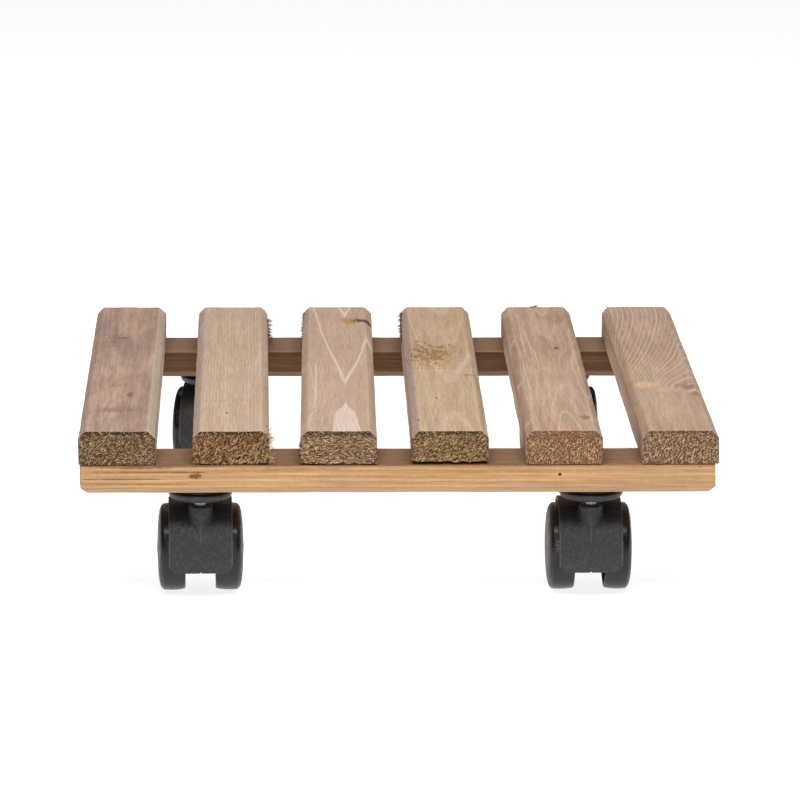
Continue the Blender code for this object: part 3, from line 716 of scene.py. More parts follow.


# %% [markdown]
# The ends were cut with a coarse saw. It leaves short strokes of torn fibre, all leaning one way,
# and the growth rings show through as arcs. The strokes are painted in two tones over a shallow
# bump: pale as painted light where the fibres stand up, nearly black as painted shade between them.
# The fibre ends drink the stain, so an end is much darker than the face beside it; part of that
# darkness is painted shade among the rough fibres.

# %% The sawn end of a board
# high and low are the strokes' tones: high is painted light on the standing fibre, low is painted shade
# between the fibres.
END_LOOKS = {
    "slat_1": dict(angle=34, low=(66, 42, 26), high=(190, 150, 112), band=(84, 72, 54), bands=0.8,
                   ring=4.2,
                   crown=(66, 46, 30), crown_depth=1.6),
    "slat_2": dict(angle=50, low=(46, 22, 6), high=(190, 138, 92), band=(92, 60, 36), bands=0.2, ring=3.4,
                   crown=(52, 34, 22), crown_depth=1.2),
    "slat_3": dict(angle=4, low=(82, 56, 36), high=(214, 176, 138), band=(104, 76, 52), bands=0.5,
                   ring=2.4,
                   crown=(72, 50, 34), crown_depth=2.0),
    "slat_4": dict(angle=38, low=(50, 30, 14), high=(198, 154, 108), band=(96, 72, 48), bands=0.3,
                   ring=3.0,
                   crown=(74, 56, 38), crown_depth=1.4),
    "slat_5": dict(angle=70, low=(108, 70, 44), high=(212, 164, 124), band=(150, 106, 80), bands=0.4,
                   ring=3.6,
                   crown=(150, 104, 78), crown_depth=4.2),
    "slat_6": dict(angle=62, low=(84, 56, 36), high=(212, 170, 136), band=(140, 106, 80), bands=0.3,
                   ring=3.8,
                   crown=(120, 84, 60), crown_depth=1.0),
    "front_batten": dict(angle=30, low=(84, 58, 38), high=(196, 156, 110), band=(120, 88, 58), bands=0.5,
                         ring=3.2, crown=(80, 56, 38), crown_depth=0.6),
    "rear_batten": dict(angle=-24, low=(70, 48, 32), high=(176, 138, 98), band=(104, 76, 52), bands=0.5,
                        ring=2.8, crown=(70, 50, 34), crown_depth=0.6),
}
strokes_group, strokes_in, strokes_out = new_group(
    "saw_strokes", [("Vector", "Vector", None), ("Angle", "Float", 0.6)],
    [("Strokes", "Float"), ("Grit", "Float"), ("Patch", "Float")])


def build_strokes(tree, given, result):
    """Noise turned to the saw's angle in the end's plane and drawn out along it, with round grit."""
    turned_in = put(tree, "VectorRotate", ((0, given["Vector"]), ("Angle", given["Angle"])),
                    rotation_type="Y_AXIS").outputs[0]
    strokes = grain_noise(tree, turned_in, (340.0, 240.0, 1500.0), 3.0, 0.62).outputs["Fac"]
    grit = grain_noise(tree, turned_in, (1250.0, 600.0, 1800.0), 2.0, 0.6).outputs["Fac"]
    patch = grain_noise(tree, turned_in, (90.0, 60.0, 160.0), 2.0, 0.5).outputs["Fac"]
    tree.links.new(ease_between(tree, strokes, 0.33, 0.67), result["Strokes"])
    tree.links.new(ease_between(tree, grit, 0.35, 0.65), result["Grit"])
    tree.links.new(ease_between(tree, patch, 0.35, 0.65), result["Patch"])


build_strokes(strokes_group, strokes_in.outputs, strokes_out.inputs)


def end_finish(node):
    """The sawn end: strokes and grit between two tones, ring arcs, and a darker crown at the top."""
    look = BOARD_LOOKS[node]
    end = END_LOOKS[node]
    finish, tree, shader, place = new_finish(node + "_sawn_end")
    vector = board_vector(tree, place, node)
    rings = add_rings(tree, vector, dict(look, ring=end["ring"], line_width=0.3, wobble=0.6))
    strokes = use_group(tree, strokes_group, (("Vector", vector), ("Angle", math.radians(end["angle"]))))
    z = put(tree, "SeparateXYZ", ((0, vector),)).outputs[2]
    half = (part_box(node)[1].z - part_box(node)[0].z) / 2
    # The strokes' two tones are painted light and shade: the pale high tone where torn fibres stand up
    # into the light, the nearly black low tone in the shade between them.
    mixed = calc(tree, "MULTIPLY_ADD", strokes.outputs["Strokes"], 0.62,
                 times(tree, strokes.outputs["Grit"], 0.38))
    mixed = ease_between(tree, mixed, 0.28, 0.76)
    color = tint(tree, mixed, chip(*end["low"]), chip(*end["high"]))
    color = tint(tree, times(tree, rings.outputs["Late Wood"], end["bands"]), color, chip(*end["band"]))
    color = tint(tree, times(tree, strokes.outputs["Patch"], 0.30), color, chip(*end["band"]))
    top = half - end["crown_depth"] / 1000.0
    ragged = calc(tree, "MULTIPLY_ADD", strokes.outputs["Patch"], 0.001, z)
    crown = times(tree, ease_between(tree, ragged, top - 0.0003, top + 0.0006), 0.7)
    color = tint(tree, crown, color, chip(*end["crown"]))
    # Pale specks: torn fibre tips, made paler as painted glints where the light would catch them.
    glint_specks = grain_noise(tree, vector, (1100.0, 500.0, 1300.0), 1.0, 0.5).outputs["Fac"]
    color = tint(tree, ease_between(tree, glint_specks, 0.62, 0.70, 0.0, 0.9), color, chip(238, 204, 154))
    tree.links.new(color, shader.inputs["Base Color"])
    shader.inputs["Roughness"].default_value = 0.9
    shader.inputs["Specular IOR Level"].default_value = 0.15
    raise_bumps(tree, shader, mixed, 1.0, 0.0007)
    return finish


TIMBER = {node: (face_finish(node), end_finish(node)) for node in SLATS + BATTENS}
print("timber finishes:", 2 * len(TIMBER))


# %% [markdown]
# A planed board is never quite straight: it wanders by a fraction of a millimetre, its long
# arrises are a little bruised, and the saw leaves its ends uneven. The board is one section
# carried along its length, with the section shrunk to a point to close each end.

# %% A board as a swept section
def board_section(half_width, half_height, cut_top, cut_bottom):
    """The section's corners, anticlockwise from the lower left, cut where the board is chamfered."""
    corners = []
    for side, level_sign, cut in ((-1, -1, cut_bottom), (1, -1, cut_bottom), (1, 1, cut_top),
                                  (-1, 1, cut_top)):
        corner = np.array([side * half_width, level_sign * half_height])
        if not cut:
            corners.append(corner)
            continue
        along_x = corner - np.array([side * cut, 0.0])
        along_z = corner - np.array([0.0, level_sign * cut])
        corners += [along_z, along_x] if side * level_sign > 0 else [along_x, along_z]
    return eased(np.array(corners), 0.0007, 3, closed=True)


def filled(section, spacing):
    """The section with points added so that none are further apart than spacing."""
    after = np.roll(section, -1, axis=0)
    run = []
    for start, end in zip(section, after):
        count = max(1, int(np.linalg.norm(end - start) / spacing))
        share = np.linspace(0.0, 1.0, count, endpoint=False)[:, None]
        run.append(start + (end - start) * share)
    return np.concatenate(run)


CAP_RINGS = 14
BODY_RINGS = 170
END_BEVEL = 0.0003


def board_rings(section, length, seed, end_cuts, wear=0.00012, torn=0.0003, end_torn=(0.0, 0.0)):
    """The section along the board, wandering and worn; its ends bevelled, sawn rough, cut and torn."""
    columns = len(section)
    half = length / 2
    cap = np.linspace(0.04, 0.985, CAP_RINGS)
    middle = np.linspace(-half + 0.002, half - 0.002, BODY_RINGS)
    body = np.concatenate([[-half + END_BEVEL], middle, [half - END_BEVEL]])
    scales = np.concatenate([cap, np.ones(len(body)), cap[::-1]])
    stations = np.concatenate([np.full(CAP_RINGS, -half), body, np.full(CAP_RINGS, half)])
    flat = section[None, :, :] * scales[:, None, None]
    along = np.repeat(stations[:, None], columns, axis=1)
    across, height = flat[..., 0], flat[..., 1]
    if end_cuts:
        room = half - np.abs(along)
        limit = height + (section[:, 1].max())
        short = np.clip(end_cuts - limit, 0.0, None) - np.clip(room, 0.0, None)
        along = along - np.sign(along) * np.clip(short, 0.0, None)
    here = np.stack([across, along, height], axis=-1)
    worn = rough(here * np.array([1.0, 0.35, 1.0]), seed, 260.0) * wear
    push = np.stack([across / np.abs(section[:, 0]).max(), np.zeros_like(across),
                     height / np.abs(section[:, 1]).max()], axis=-1)
    here = here + push * worn[..., None]
    is_cap = np.concatenate([np.ones(CAP_RINGS), np.zeros(len(body)), np.ones(CAP_RINGS)])[:, None]
    saw = rough(here * np.array([1.0, 0.0, 1.4]), seed + 1, 900.0) * torn * is_cap
    here[..., 1] += saw
    near_end = np.clip(1 - (half - np.abs(along)) / 0.006, 0.0, 1.0)
    lower = np.clip(-height / np.abs(section[:, 1]).max(), 0.0, 1.0)
    bite = np.where(along < 0, end_torn[0], end_torn[1]) * near_end * lower
    here[..., 2] += bite * (0.75 + 0.5 * rough(here * np.array([1.0, 0.0, 0.0]), seed + 2, 1300.0))
    return here, is_cap[:, 0]


def placed(points, middle, turn):
    """Points from a piece's own frame, turned about Z and moved to its middle."""
    cosine, sine = math.cos(turn), math.sin(turn)
    spin = np.array([[cosine, -sine, 0.0], [sine, cosine, 0.0], [0.0, 0.0, 1.0]])
    return points @ spin.T + np.array(middle)


def board_size(node):
    """Half width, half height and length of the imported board, in its own frame."""
    points = np.array([vertex.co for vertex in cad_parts[node].data.vertices])
    middle, turn = FRAMES[node]
    own = placed(points - np.array(middle), (0, 0, 0), -turn)
    half = (own.max(axis=0) - own.min(axis=0)) / 2
    return half[0], half[2], 2 * half[1]


SLAT_CHAMFER = 0.0042
BATTEN_END_CUT = 0.004
SLAT_TORN = {"slat_4": (0.0030, 0.0), "slat_3": (0.0006, 0.0), "slat_2": (0.0008, 0.0)}


def board_mesh(node, seed):
    """The finished board's mesh in place, its sides in the first material and its ends in the second."""
    half_width, half_height, length = board_size(node)
    is_slat = node in SLATS
    cut_top = SLAT_CHAMFER if is_slat else 0.0
    cut_bottom = 0.0 if is_slat else BATTEN_END_CUT
    section = filled(board_section(half_width, half_height, cut_top, cut_bottom), 0.0021)
    rings, is_cap = board_rings(section, length, seed, 0.0 if is_slat else BATTEN_END_CUT,
                                end_torn=SLAT_TORN.get(node, (0.0, 0.0)))
    mesh = solid_mesh(node + "_board", placed(rings, *FRAMES[node]))
    mesh.materials.append(TIMBER[node][0])
    mesh.materials.append(TIMBER[node][1])
    columns = len(section)
    quad_rows = (is_cap[:-1] + is_cap[1:] > 0).astype(np.int32)
    fan = np.ones(columns, np.int32)
    indices = np.concatenate([fan, np.repeat(quad_rows, columns), fan])
    mesh.polygons.foreach_set("material_index", indices)
    return mesh


for order, node in enumerate(SLATS + BATTENS):
    made = add_piece(node + "_board", board_mesh(node, 40 + order), "deck", [node])
    print(made.name, len(made.data.polygons), "faces")


# %% [markdown]
# Where the saw and the planer tore the wood, fibres stand out as thin splinters. Each is a
# three-sided spike that bends a little and ends in a point, a dozen faces in all, so that
# thousands of them stay light. A number on each spike picks its shade between dark and pale.

# %% Splinters
def spike_mesh(name, roots, tips, bends, radii, shades):
    """Spikes from roots to tips: a triangle carried along a quadratic curve and tapered to nothing."""
    count = len(roots)
    share = np.array([0.0, 0.3, 0.62, 0.86])[None, :, None]
    middle = (roots + tips) / 2 + bends
    line = ((1 - share) ** 2 * roots[:, None] + 2 * share * (1 - share) * middle[:, None]
            + share**2 * tips[:, None])
    heading = tips - roots
    heading = heading / np.linalg.norm(heading, axis=1, keepdims=True)
    helper = np.where(np.abs(heading[:, 2:]) < 0.8, [[0.0, 0.0, 1.0]], [[1.0, 0.0, 0.0]])
    side = np.cross(heading, helper)
    side = side / np.linalg.norm(side, axis=1, keepdims=True)
    other = np.cross(heading, side)
    angle = np.array([0.0, math.tau / 3, 2 * math.tau / 3])
    ring = side[:, None, :] * np.cos(angle)[None, :, None] + other[:, None,
                                                                   :] * np.sin(angle)[None, :, None]
    taper = np.array([1.0, 0.85, 0.6, 0.3])[None, :, None, None]
    points = line[:, :, None, :] + ring[:, None] * taper * radii[:, None, None, None]
    everything = np.concatenate([points.reshape(count, 12, 3), tips[:, None]], axis=1)
    quads = ring_faces(4, 3)
    base = np.array([[0, 2, 1]])
    fan = np.array([[9, 10, 12], [10, 11, 12], [11, 9, 12]])
    offsets = (np.arange(count) * 13)[:, None, None]
    faces = (quads + offsets).reshape(-1, 4).tolist()
    faces += (np.concatenate([base, fan]) + offsets).reshape(-1, 3).tolist()
    mesh = bpy.data.meshes.new(name)
    mesh.from_pydata(everything.reshape(-1, 3), [], faces)
    shade = mesh.attributes.new("shade", "FLOAT", "POINT")
    shade.data.foreach_set("value", np.repeat(shades, 13).astype(np.float32))
    mesh.update()
    return mesh


def splinter_finish(name, dark, pale):
    """Bare torn fibre: each splinter's own shade between two tones, lightly streaked."""
    finish, tree, shader, place = new_finish(name)
    shade = put(tree, "Attribute", attribute_name="shade").outputs["Fac"]
    color = tint(tree, shade, chip(*dark), chip(*pale))
    streak = grain_noise(tree, place, (2600.0, 2600.0, 2600.0), 2.0).outputs["Fac"]
    color = tint(tree, ease_between(tree, streak, 0.4, 0.7, 0.0, 0.35), color, chip(*dark))
    tree.links.new(color, shader.inputs["Base Color"])
    shader.inputs["Roughness"].default_value = 0.8
    raise_bumps(tree, shader, streak, 0.4, 0.0001)
    return finish


pale_splinters = splinter_finish("pale_splinters", (118, 80, 46), (242, 208, 160))
dark_splinters = splinter_finish("dark_splinters", (58, 34, 20), (140, 98, 66))


def end_fuzz(node, seed, count, length, front):
    """Torn fibres lying on a sawn end, all leaning the way that the saw went."""
    random = np.random.default_rng(seed)
    half_width, half_height, board_length = board_size(node)
    lean = math.radians(END_LOOKS[node]["angle"]) + random.normal(0.0, 0.35, count)
    x = random.uniform(-half_width * 0.96, half_width * 0.96, count)
    z = random.uniform(-half_height * 0.93, half_height * 0.80, count)
    z = np.maximum(z, -half_height * 0.95 + SLAT_TORN.get(node, (0.0, 0.0))[0] * 0.9)
    sign = -1.0 if front else 1.0
    roots = np.stack([x, np.full(count, sign * (board_length / 2 - 0.0003)), z], axis=-1)
    reach = random.uniform(0.35, 1.0, count) * length
    out = sign * random.uniform(0.15, 0.75, count) * 0.001
    swing = np.where(random.random(count) < 0.5, 1.0, -1.0)
    heading = np.stack([np.cos(lean) * reach * swing, out, np.sin(lean) * reach * swing], axis=-1)
    bends = random.normal(0.0, 0.0002, (count, 3))
    return roots, roots + heading, bends, random.uniform(0.00011, 0.00024,
                                                         count), random.random(count) ** 0.8


def edge_tuft(seed, count, start, end, heading, length, spread):
    """Splinters rooted along a line from start to end, fanned about a heading."""
    random = np.random.default_rng(seed)
    share = random.random(count)[:, None]
    roots = np.array(start) + (np.array(end) - np.array(start)) * share
    roots = roots + random.normal(0.0, 0.0004, (count, 3))
    aim = np.array(heading) + random.normal(0.0, spread, (count, 3))
    aim = aim / np.linalg.norm(aim, axis=1, keepdims=True)
    reach = random.uniform(0.3, 1.0, count)[:, None] * length
    bends = random.normal(0.0, 0.0007, (count, 3))
    return roots, roots + aim * reach, bends, random.uniform(0.00014, 0.00032,
                                                             count), random.random(count)


def add_splinters(name, node, bunches, finish):
    """Puts bunches of splinters, given in the board's own frame, in place as one piece."""
    roots, tips, bends, radii, shades = (np.concatenate(parts) for parts in zip(*bunches))
    middle, turn = FRAMES[node]
    mesh = spike_mesh(name, placed(roots, middle, turn), placed(tips, middle, turn),
                      placed(bends, (0, 0, 0), turn), radii, shades)
    mesh.materials.append(finish)
    return add_piece(name, mesh, "deck")


FUZZ = {"slat_1": (620, 0.0024), "slat_2": (900, 0.0028), "slat_3": (760, 0.0024),
        "slat_4": (820, 0.0026),
        "slat_5": (360, 0.0014), "slat_6": (620, 0.0016)}
for order, (node, (count, length)) in enumerate(FUZZ.items()):
    bunches = [end_fuzz(node, 200 + order, count, length, True),
               end_fuzz(node, 220 + order, count, length, False)]
    made = add_splinters(node + "_end_fibres", node, bunches, pale_splinters)
    print(made.name, len(made.data.polygons), "faces")

# %% The tufts along the edges
TUFTS = {
    "slat_2_rear_tuft": ("slat_2", dark_splinters, [
        edge_tuft(301, 130, (0.0216, 0.112, 0.002), (0.0214, 0.166, 0.006), (0.9, -0.6, -0.25), 0.0068,
                  0.5)]),
    "slat_2_corner_tuft": ("slat_2", pale_splinters, [
        edge_tuft(302, 120, (0.0214, -0.186, -0.009), (0.0205, -0.186, 0.008), (0.9, -0.25, 0.15), 0.0072,
                  0.5),
        edge_tuft(303, 40, (0.0216, -0.186, 0.004), (0.0206, -0.160, 0.007), (0.7, -0.2, 0.5), 0.0040,
                  0.5)]),
    "slat_3_edge_tufts": ("slat_3", dark_splinters, [
        edge_tuft(304, 80, (-0.0215, 0.120, 0.003), (-0.0213, 0.180, 0.007), (-0.9, -0.2, 0.1), 0.0030,
                  0.5),
        edge_tuft(305, 90, (-0.0215, -0.186, -0.008), (-0.0213, -0.186, 0.003), (-0.9, -0.3, -0.1),
                  0.0036, 0.5)]),
    "slat_4_edge_tufts": ("slat_4", dark_splinters, [
        edge_tuft(306, 150, (-0.0216, 0.110, 0.002), (-0.0213, 0.180, 0.007), (-0.9, -0.4, -0.1), 0.0046,
                  0.45),
        edge_tuft(307, 120, (-0.0214, -0.186, -0.005), (0.0214, -0.186, -0.0055), (0.1, -0.5, -0.8),
                  0.0022, 0.5),
        edge_tuft(308, 90, (-0.0213, -0.186, -0.006), (-0.0213, -0.186, 0.005), (-0.9, -0.3, -0.1),
                  0.0032, 0.5)]),
    "slat_5_rear_chip": ("slat_5", dark_splinters, [
        edge_tuft(311, 40, (-0.0040, 0.1862, 0.0088), (-0.0010, 0.1862, 0.0092), (1.0, -0.1, 0.25),
                  0.0050, 0.2)]),
    "slat_6_edge_tufts": ("slat_6", pale_splinters, [
        edge_tuft(309, 14, (-0.0180, 0.183, 0.009), (-0.0195, 0.186, 0.008), (-0.5, 0.2, 0.8), 0.0024,
                  0.5),
        edge_tuft(310, 22, (0.012, -0.186, 0.007), (0.0205, -0.186, 0.005), (0.1, -0.9, 0.1), 0.0014,
                  0.5)]),
}
for name, (node, finish, bunches) in TUFTS.items():
    made = add_splinters(name, node, bunches, finish)
    print(made.name, len(made.data.polygons), "faces")

# %% [markdown]
# ## Casters
# The hood, the plate and the wheels are moulded nylon. The mould was spark eroded, so the hood is
# pebbled and satin, while the treads came out of polished steel and shine. Moulded corners are
# never sharp: the hood is joined from simple solids, remeshed very finely and smoothed a little,
# which rounds every edge and fillets every join the way that a mould does.

# %% Group: spark-eroded nylon
pebble_group, pebble_in, pebble_out = new_group(
    "moulded_pebble", [("Vector", "Vector", None), ("Scale", "Float", 1.0)],
    [("Pebble", "Float"), ("Mottle", "Float"), ("Dust", "Float")])


def build_pebble(tree, given, result):
    """Small round noise for the eroded skin, wavy larger noise for flow marks, and sparse dust."""
    size = put(tree, "VectorMath", ((0, given["Vector"]), ("Scale", given["Scale"])),
               operation="SCALE").outputs[0]
    pebble = grain_noise(tree, size, (1300.0, 1300.0, 1300.0), 2.0, 0.6).outputs["Fac"]
    cells = put(tree, "TexVoronoi", (("Vector", stretched(tree, size, (560.0, 560.0, 700.0))),
                                     ("Scale", 1.0)))
    # The mottle is part flow marks and part painted highlight, for the top light catching the pebbled
    # skin in wavy patches.
    mottle = put(tree, "TexNoise", (("Vector", stretched(tree, size, (330.0, 330.0, 330.0))),
                                    ("Scale", 1.0),
                                    ("Detail", 2.0), ("Distortion", 1.6))).outputs["Fac"]
    dust = grain_noise(tree, size, (2400.0, 2400.0, 2400.0), 1.0).outputs["Fac"]
    skin = calc(tree, "MULTIPLY_ADD", cells.outputs["Distance"], 0.5, pebble)
    tree.links.new(skin, result["Pebble"])
    tree.links.new(ease_between(tree, mottle, 0.42, 0.66), result["Mottle"])
    tree.links.new(ease_between(tree, dust, 0.70, 0.78), result["Dust"])


build_pebble(pebble_group, pebble_in.outputs, pebble_out.inputs)


# %% Nylon finishes
def nylon_finish(name, base, worn, mottled, roughness, bumps, specular=0.5, painted_edge_highlights=False):
    """Moulded nylon: two close tones mixed by flow marks and painted highlight, a few dust specks,
    and a pebbled skin. If asked, the rims at the sides and the line where the mould parted are
    paler, as painted highlights."""
    finish, tree, shader, place = new_finish(name)
    skin = use_group(tree, pebble_group, (("Vector", place),))
    # The worn tone is the lighter one; the mottle that mixes it in is part flow marks and part painted
    # highlight.
    color = tint(tree, times(tree, skin.outputs["Mottle"], mottled), chip(*base), chip(*worn))
    color = tint(tree, times(tree, skin.outputs["Dust"], 0.25), color, chip(150, 146, 142))
    if painted_edge_highlights:
        # Painted highlights: the rims along the hood's sides and its parting line down the middle are
        # lightened low on the hood, below the batten's shadow, where their edges would catch the light.
        across = calc(tree, "ABSOLUTE", put(tree, "Attribute", attribute_name="across").outputs["Fac"])
        height = put(tree, "SeparateXYZ", ((0, place),)).outputs[2]
        low_down = ease_between(tree, height, 0.040, 0.052, 1.0, 0.0)
        rim = times(tree, ease_between(tree, across, 0.0178, 0.0185), low_down)
        upper = times(tree, ease_between(tree, height, 0.033, 0.036), low_down)
        seam_highlight = times(tree, ease_between(tree, across, 0.0001, 0.0006, 0.6, 0.0), upper)
        color = tint(tree, times(tree, calc(tree, "MAXIMUM", rim, seam_highlight), 0.45), color,
                     chip(104, 106, 110))
    tree.links.new(color, shader.inputs["Base Color"])
    rough_range = ease_between(tree, skin.outputs["Mottle"], 0.0, 1.0, roughness + 0.06, roughness - 0.06)
    tree.links.new(rough_range, shader.inputs["Roughness"])
    shader.inputs["Specular IOR Level"].default_value = specular
    raise_bumps(tree, shader, skin.outputs["Pebble"], bumps, 0.0002)
    return finish


# Only the hood gets painted highlights on its side rims and parting line.
hood_nylon = nylon_finish("hood_pebbled_nylon", (38, 37, 40), (53, 52, 56), 0.75, 0.50, 1.0, 0.45,
                          painted_edge_highlights=True)
dome_nylon = nylon_finish("wheel_satin_nylon", (32, 29, 30), (38, 35, 36), 0.4, 0.42, 0.25, 0.25)
tread_nylon = nylon_finish("tread_polished_nylon", (14, 13, 15), (18, 17, 19), 0.3, 0.27, 0.03, 0.4)
plate_nylon = nylon_finish("plate_satin_nylon", (31, 30, 31), (44, 43, 44), 0.8, 0.45, 0.8)


# %% [markdown]
# The steel is bright zinc plate: bluish white, with a faint crystalline mottle, brushed a little by
# the press, and duller where fingers and dust have been.

# %% Steel finish
def steel_finish(name, bright, dull, low, high):
    """Zinc-plated steel: a blue-white metal whose roughness and tone vary in small spangles."""
    finish, tree, shader, place = new_finish(name)
    spangle = put(tree, "TexVoronoi", (("Vector", place), ("Scale", 900.0)), feature="SMOOTH_F1")
    scratch = grain_noise(tree, place, (900.0, 900.0, 4200.0), 2.0).outputs["Fac"]
    mix = calc(tree, "MULTIPLY_ADD", scratch, 0.5, times(tree, spangle.outputs["Distance"], 0.8))
    color = tint(tree, ease_between(tree, mix, 0.25, 0.75), chip(*bright), chip(*dull))
    tree.links.new(color, shader.inputs["Base Color"])
    shader.inputs["Metallic"].default_value = 1.0
    tree.links.new(ease_between(tree, mix, 0.2, 0.8, low, high), shader.inputs["Roughness"])
    raise_bumps(tree, shader, scratch, 0.2, 0.00005)
    return finish


stem_zinc = steel_finish("stem_zinc_plate", (206, 208, 212), (150, 152, 158), 0.2, 0.38)
screw_zinc = steel_finish("screw_zinc_plate", (212, 208, 196), (160, 156, 146), 0.24, 0.42)
print("caster finishes ready")


# %% [markdown]
# All four casters are one design, turned differently on their stems. Each is worked out once,
# with the stem's axis on Z and the wheels' axle along X, and then set in its own place: the stem
# says where it stands, and the line between its wheels says which way it has turned.

# %% Where each caster stands
def box_middle(node):
    """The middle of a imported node's box."""
    low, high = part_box(node)
    return (low + high) / 2


def caster_place(corner):
    """Where the stem meets the floor, and the turn of the axle about Z."""
    stem = box_middle(corner + "_stem")
    line = box_middle(corner + "_wheel_right") - box_middle(corner + "_wheel_left")
    return Vector((stem.x, stem.y, 0.0)), math.atan2(line.y, line.x)


CASTERS = {corner: caster_place(corner) for corner in CORNERS}
axle_line = box_middle("front_right_axle")
WHEEL_RADIUS = axle_line.z
TRAIL = (Vector((axle_line.x, axle_line.y, 0.0)) - CASTERS["front_right"][0]).length
for corner, (spot, turn) in CASTERS.items():
    print(corner, [round(value * 1000, 1) for value in spot], "mm, turned", round(math.degrees(turn), 2))


def moved_mesh(mesh, name, spot, turn):
    """A copy of a mesh, turned about Z and set at a spot."""
    copy = mesh.copy()
    copy.name = name
    copy.transform(Matrix.Translation(spot) @ Matrix.Rotation(turn, 4, "Z"))
    return copy


# %% The hood
HOOD_RADIUS = 0.0298
HOOD_HALF = 0.0188
HOOD_WALL = 0.002
HOOD_FRONT_EDGE = 0.0158
HOOD_REAR_EDGE = 0.034
HOOD_CORNER = 0.006
HOOD_VOXEL = 0.00042
WEB_HALF = 0.003
BOSS_RADIUS = 0.0058
BOSS_HALF = 0.0087
PIN_BORE = 0.0027
PIN_REACH = 0.012
SOCKET_RADIUS = 0.00715
SOCKET_RIM = 0.0552
SOCKET_FOOT = 0.0298


def hood_band_rings():
    """The band: angle round the axle by a rounded strip, narrowed to round its lower corners."""
    low = math.asin((HOOD_FRONT_EDGE - WHEEL_RADIUS) / HOOD_RADIUS)
    high = math.pi - math.asin((HOOD_REAR_EDGE - WHEEL_RADIUS) / HOOD_RADIUS)
    angle = np.linspace(low, high, 120)
    height = WHEEL_RADIUS + HOOD_RADIUS * np.sin(angle)
    edge = np.where(angle < math.pi / 2, HOOD_FRONT_EDGE, HOOD_REAR_EDGE)
    inside = np.clip(HOOD_CORNER - (height - edge), 0.0, HOOD_CORNER)
    half = HOOD_HALF - (HOOD_CORNER - np.sqrt(HOOD_CORNER**2 - inside**2))
    strip = eased([(-1, 0), (1, 0), (1, 1), (-1, 1)], 0.02, 3, closed=True)
    x = strip[None, :, 0] * half[:, None]
    radius = HOOD_RADIUS - HOOD_WALL + strip[None, :, 1] * HOOD_WALL
    y = TRAIL - radius * np.cos(angle)[:, None]
    z = WHEEL_RADIUS + radius * np.sin(angle)[:, None]
    return np.stack([x, y, z], axis=-1)


def hood_web_rings():
    """The middle wall: the hood's side outline, carried three millimetres each way."""
    radius = HOOD_RADIUS - HOOD_WALL / 2
    low = math.asin((HOOD_FRONT_EDGE - WHEEL_RADIUS) / radius)
    high = math.pi - math.asin((HOOD_REAR_EDGE - WHEEL_RADIUS) / radius)
    angle = np.linspace(low, high, 60)
    y = TRAIL - radius * np.cos(angle)
    z = WHEEL_RADIUS + radius * np.sin(angle)
    outline = np.stack([y, z], axis=-1)
    step = np.array([[TRAIL + 0.0035, HOOD_REAR_EDGE], [TRAIL + 0.0035, WHEEL_RADIUS - 0.0048],
                     [TRAIL - 0.002, HOOD_FRONT_EDGE]])
    outline = np.concatenate([outline, step])
    sides = np.array([-WEB_HALF, WEB_HALF])
    x = np.repeat(sides[:, None], len(outline), axis=1)
    return np.stack([x, *(np.repeat(part[None, :], 2, axis=0) for part in outline.T)], axis=-1)


def cap_mesh(name, rings):
    """A prism from its two outlines, its ends one face each."""
    rows, columns = rings.shape[:2]
    faces = ring_faces(rows, columns).tolist()
    faces.append(list(range(columns))[::-1])
    faces.append(list(range((rows - 1) * columns, rows * columns)))
    mesh = bpy.data.meshes.new(name)
    mesh.from_pydata(rings.reshape(-1, 3), [], faces)
    return mesh


def along_x(mesh, middle):
    """A turned mesh laid over, so that its axis runs along X through a point."""
    mesh.transform(Matrix.Translation(middle) @ Matrix.Rotation(math.pi / 2, 4, "Y"))
    return mesh


def joined(name, meshes):
    """One mesh holding several solids."""
    points = []
    faces = []
    for mesh in meshes:
        base = len(points)
        points += [tuple(vertex.co) for vertex in mesh.vertices]
        faces += [[base + index for index in face.vertices] for face in mesh.polygons]
    result = bpy.data.meshes.new(name)
    result.from_pydata(points, [], faces)
    return result


def outward(mesh):
    """Turns every face of a closed mesh outwards."""
    thing = bpy.data.objects.new("turning", mesh)
    bpy.context.scene.collection.objects.link(thing)
    bpy.context.view_layer.objects.active = thing
    thing.select_set(True)
    bpy.ops.object.mode_set(mode="EDIT")
    bpy.ops.mesh.select_all(action="SELECT")
    bpy.ops.mesh.normals_make_consistent(inside=False)
    bpy.ops.object.mode_set(mode="OBJECT")
    bpy.data.objects.remove(thing)
    return mesh


def applied(mesh, steps):
    """A mesh after modifiers, each given as (kind, settings)."""
    thing = bpy.data.objects.new("working", mesh)
    bpy.context.scene.collection.objects.link(thing)
    for kind, settings in steps:
        modifier = thing.modifiers.new(kind.lower(), kind)
        for option, value in settings.items():
            setattr(modifier, option, value)
    graph = bpy.context.evaluated_depsgraph_get()
    result = bpy.data.meshes.new_from_object(thing.evaluated_get(graph))
    bpy.data.objects.remove(thing)
    return result


def hidden_tool(name, mesh):
    """An object that only cuts, removed once the cut is made."""
    thing = bpy.data.objects.new(name, mesh)
    bpy.context.scene.collection.objects.link(thing)
    return thing


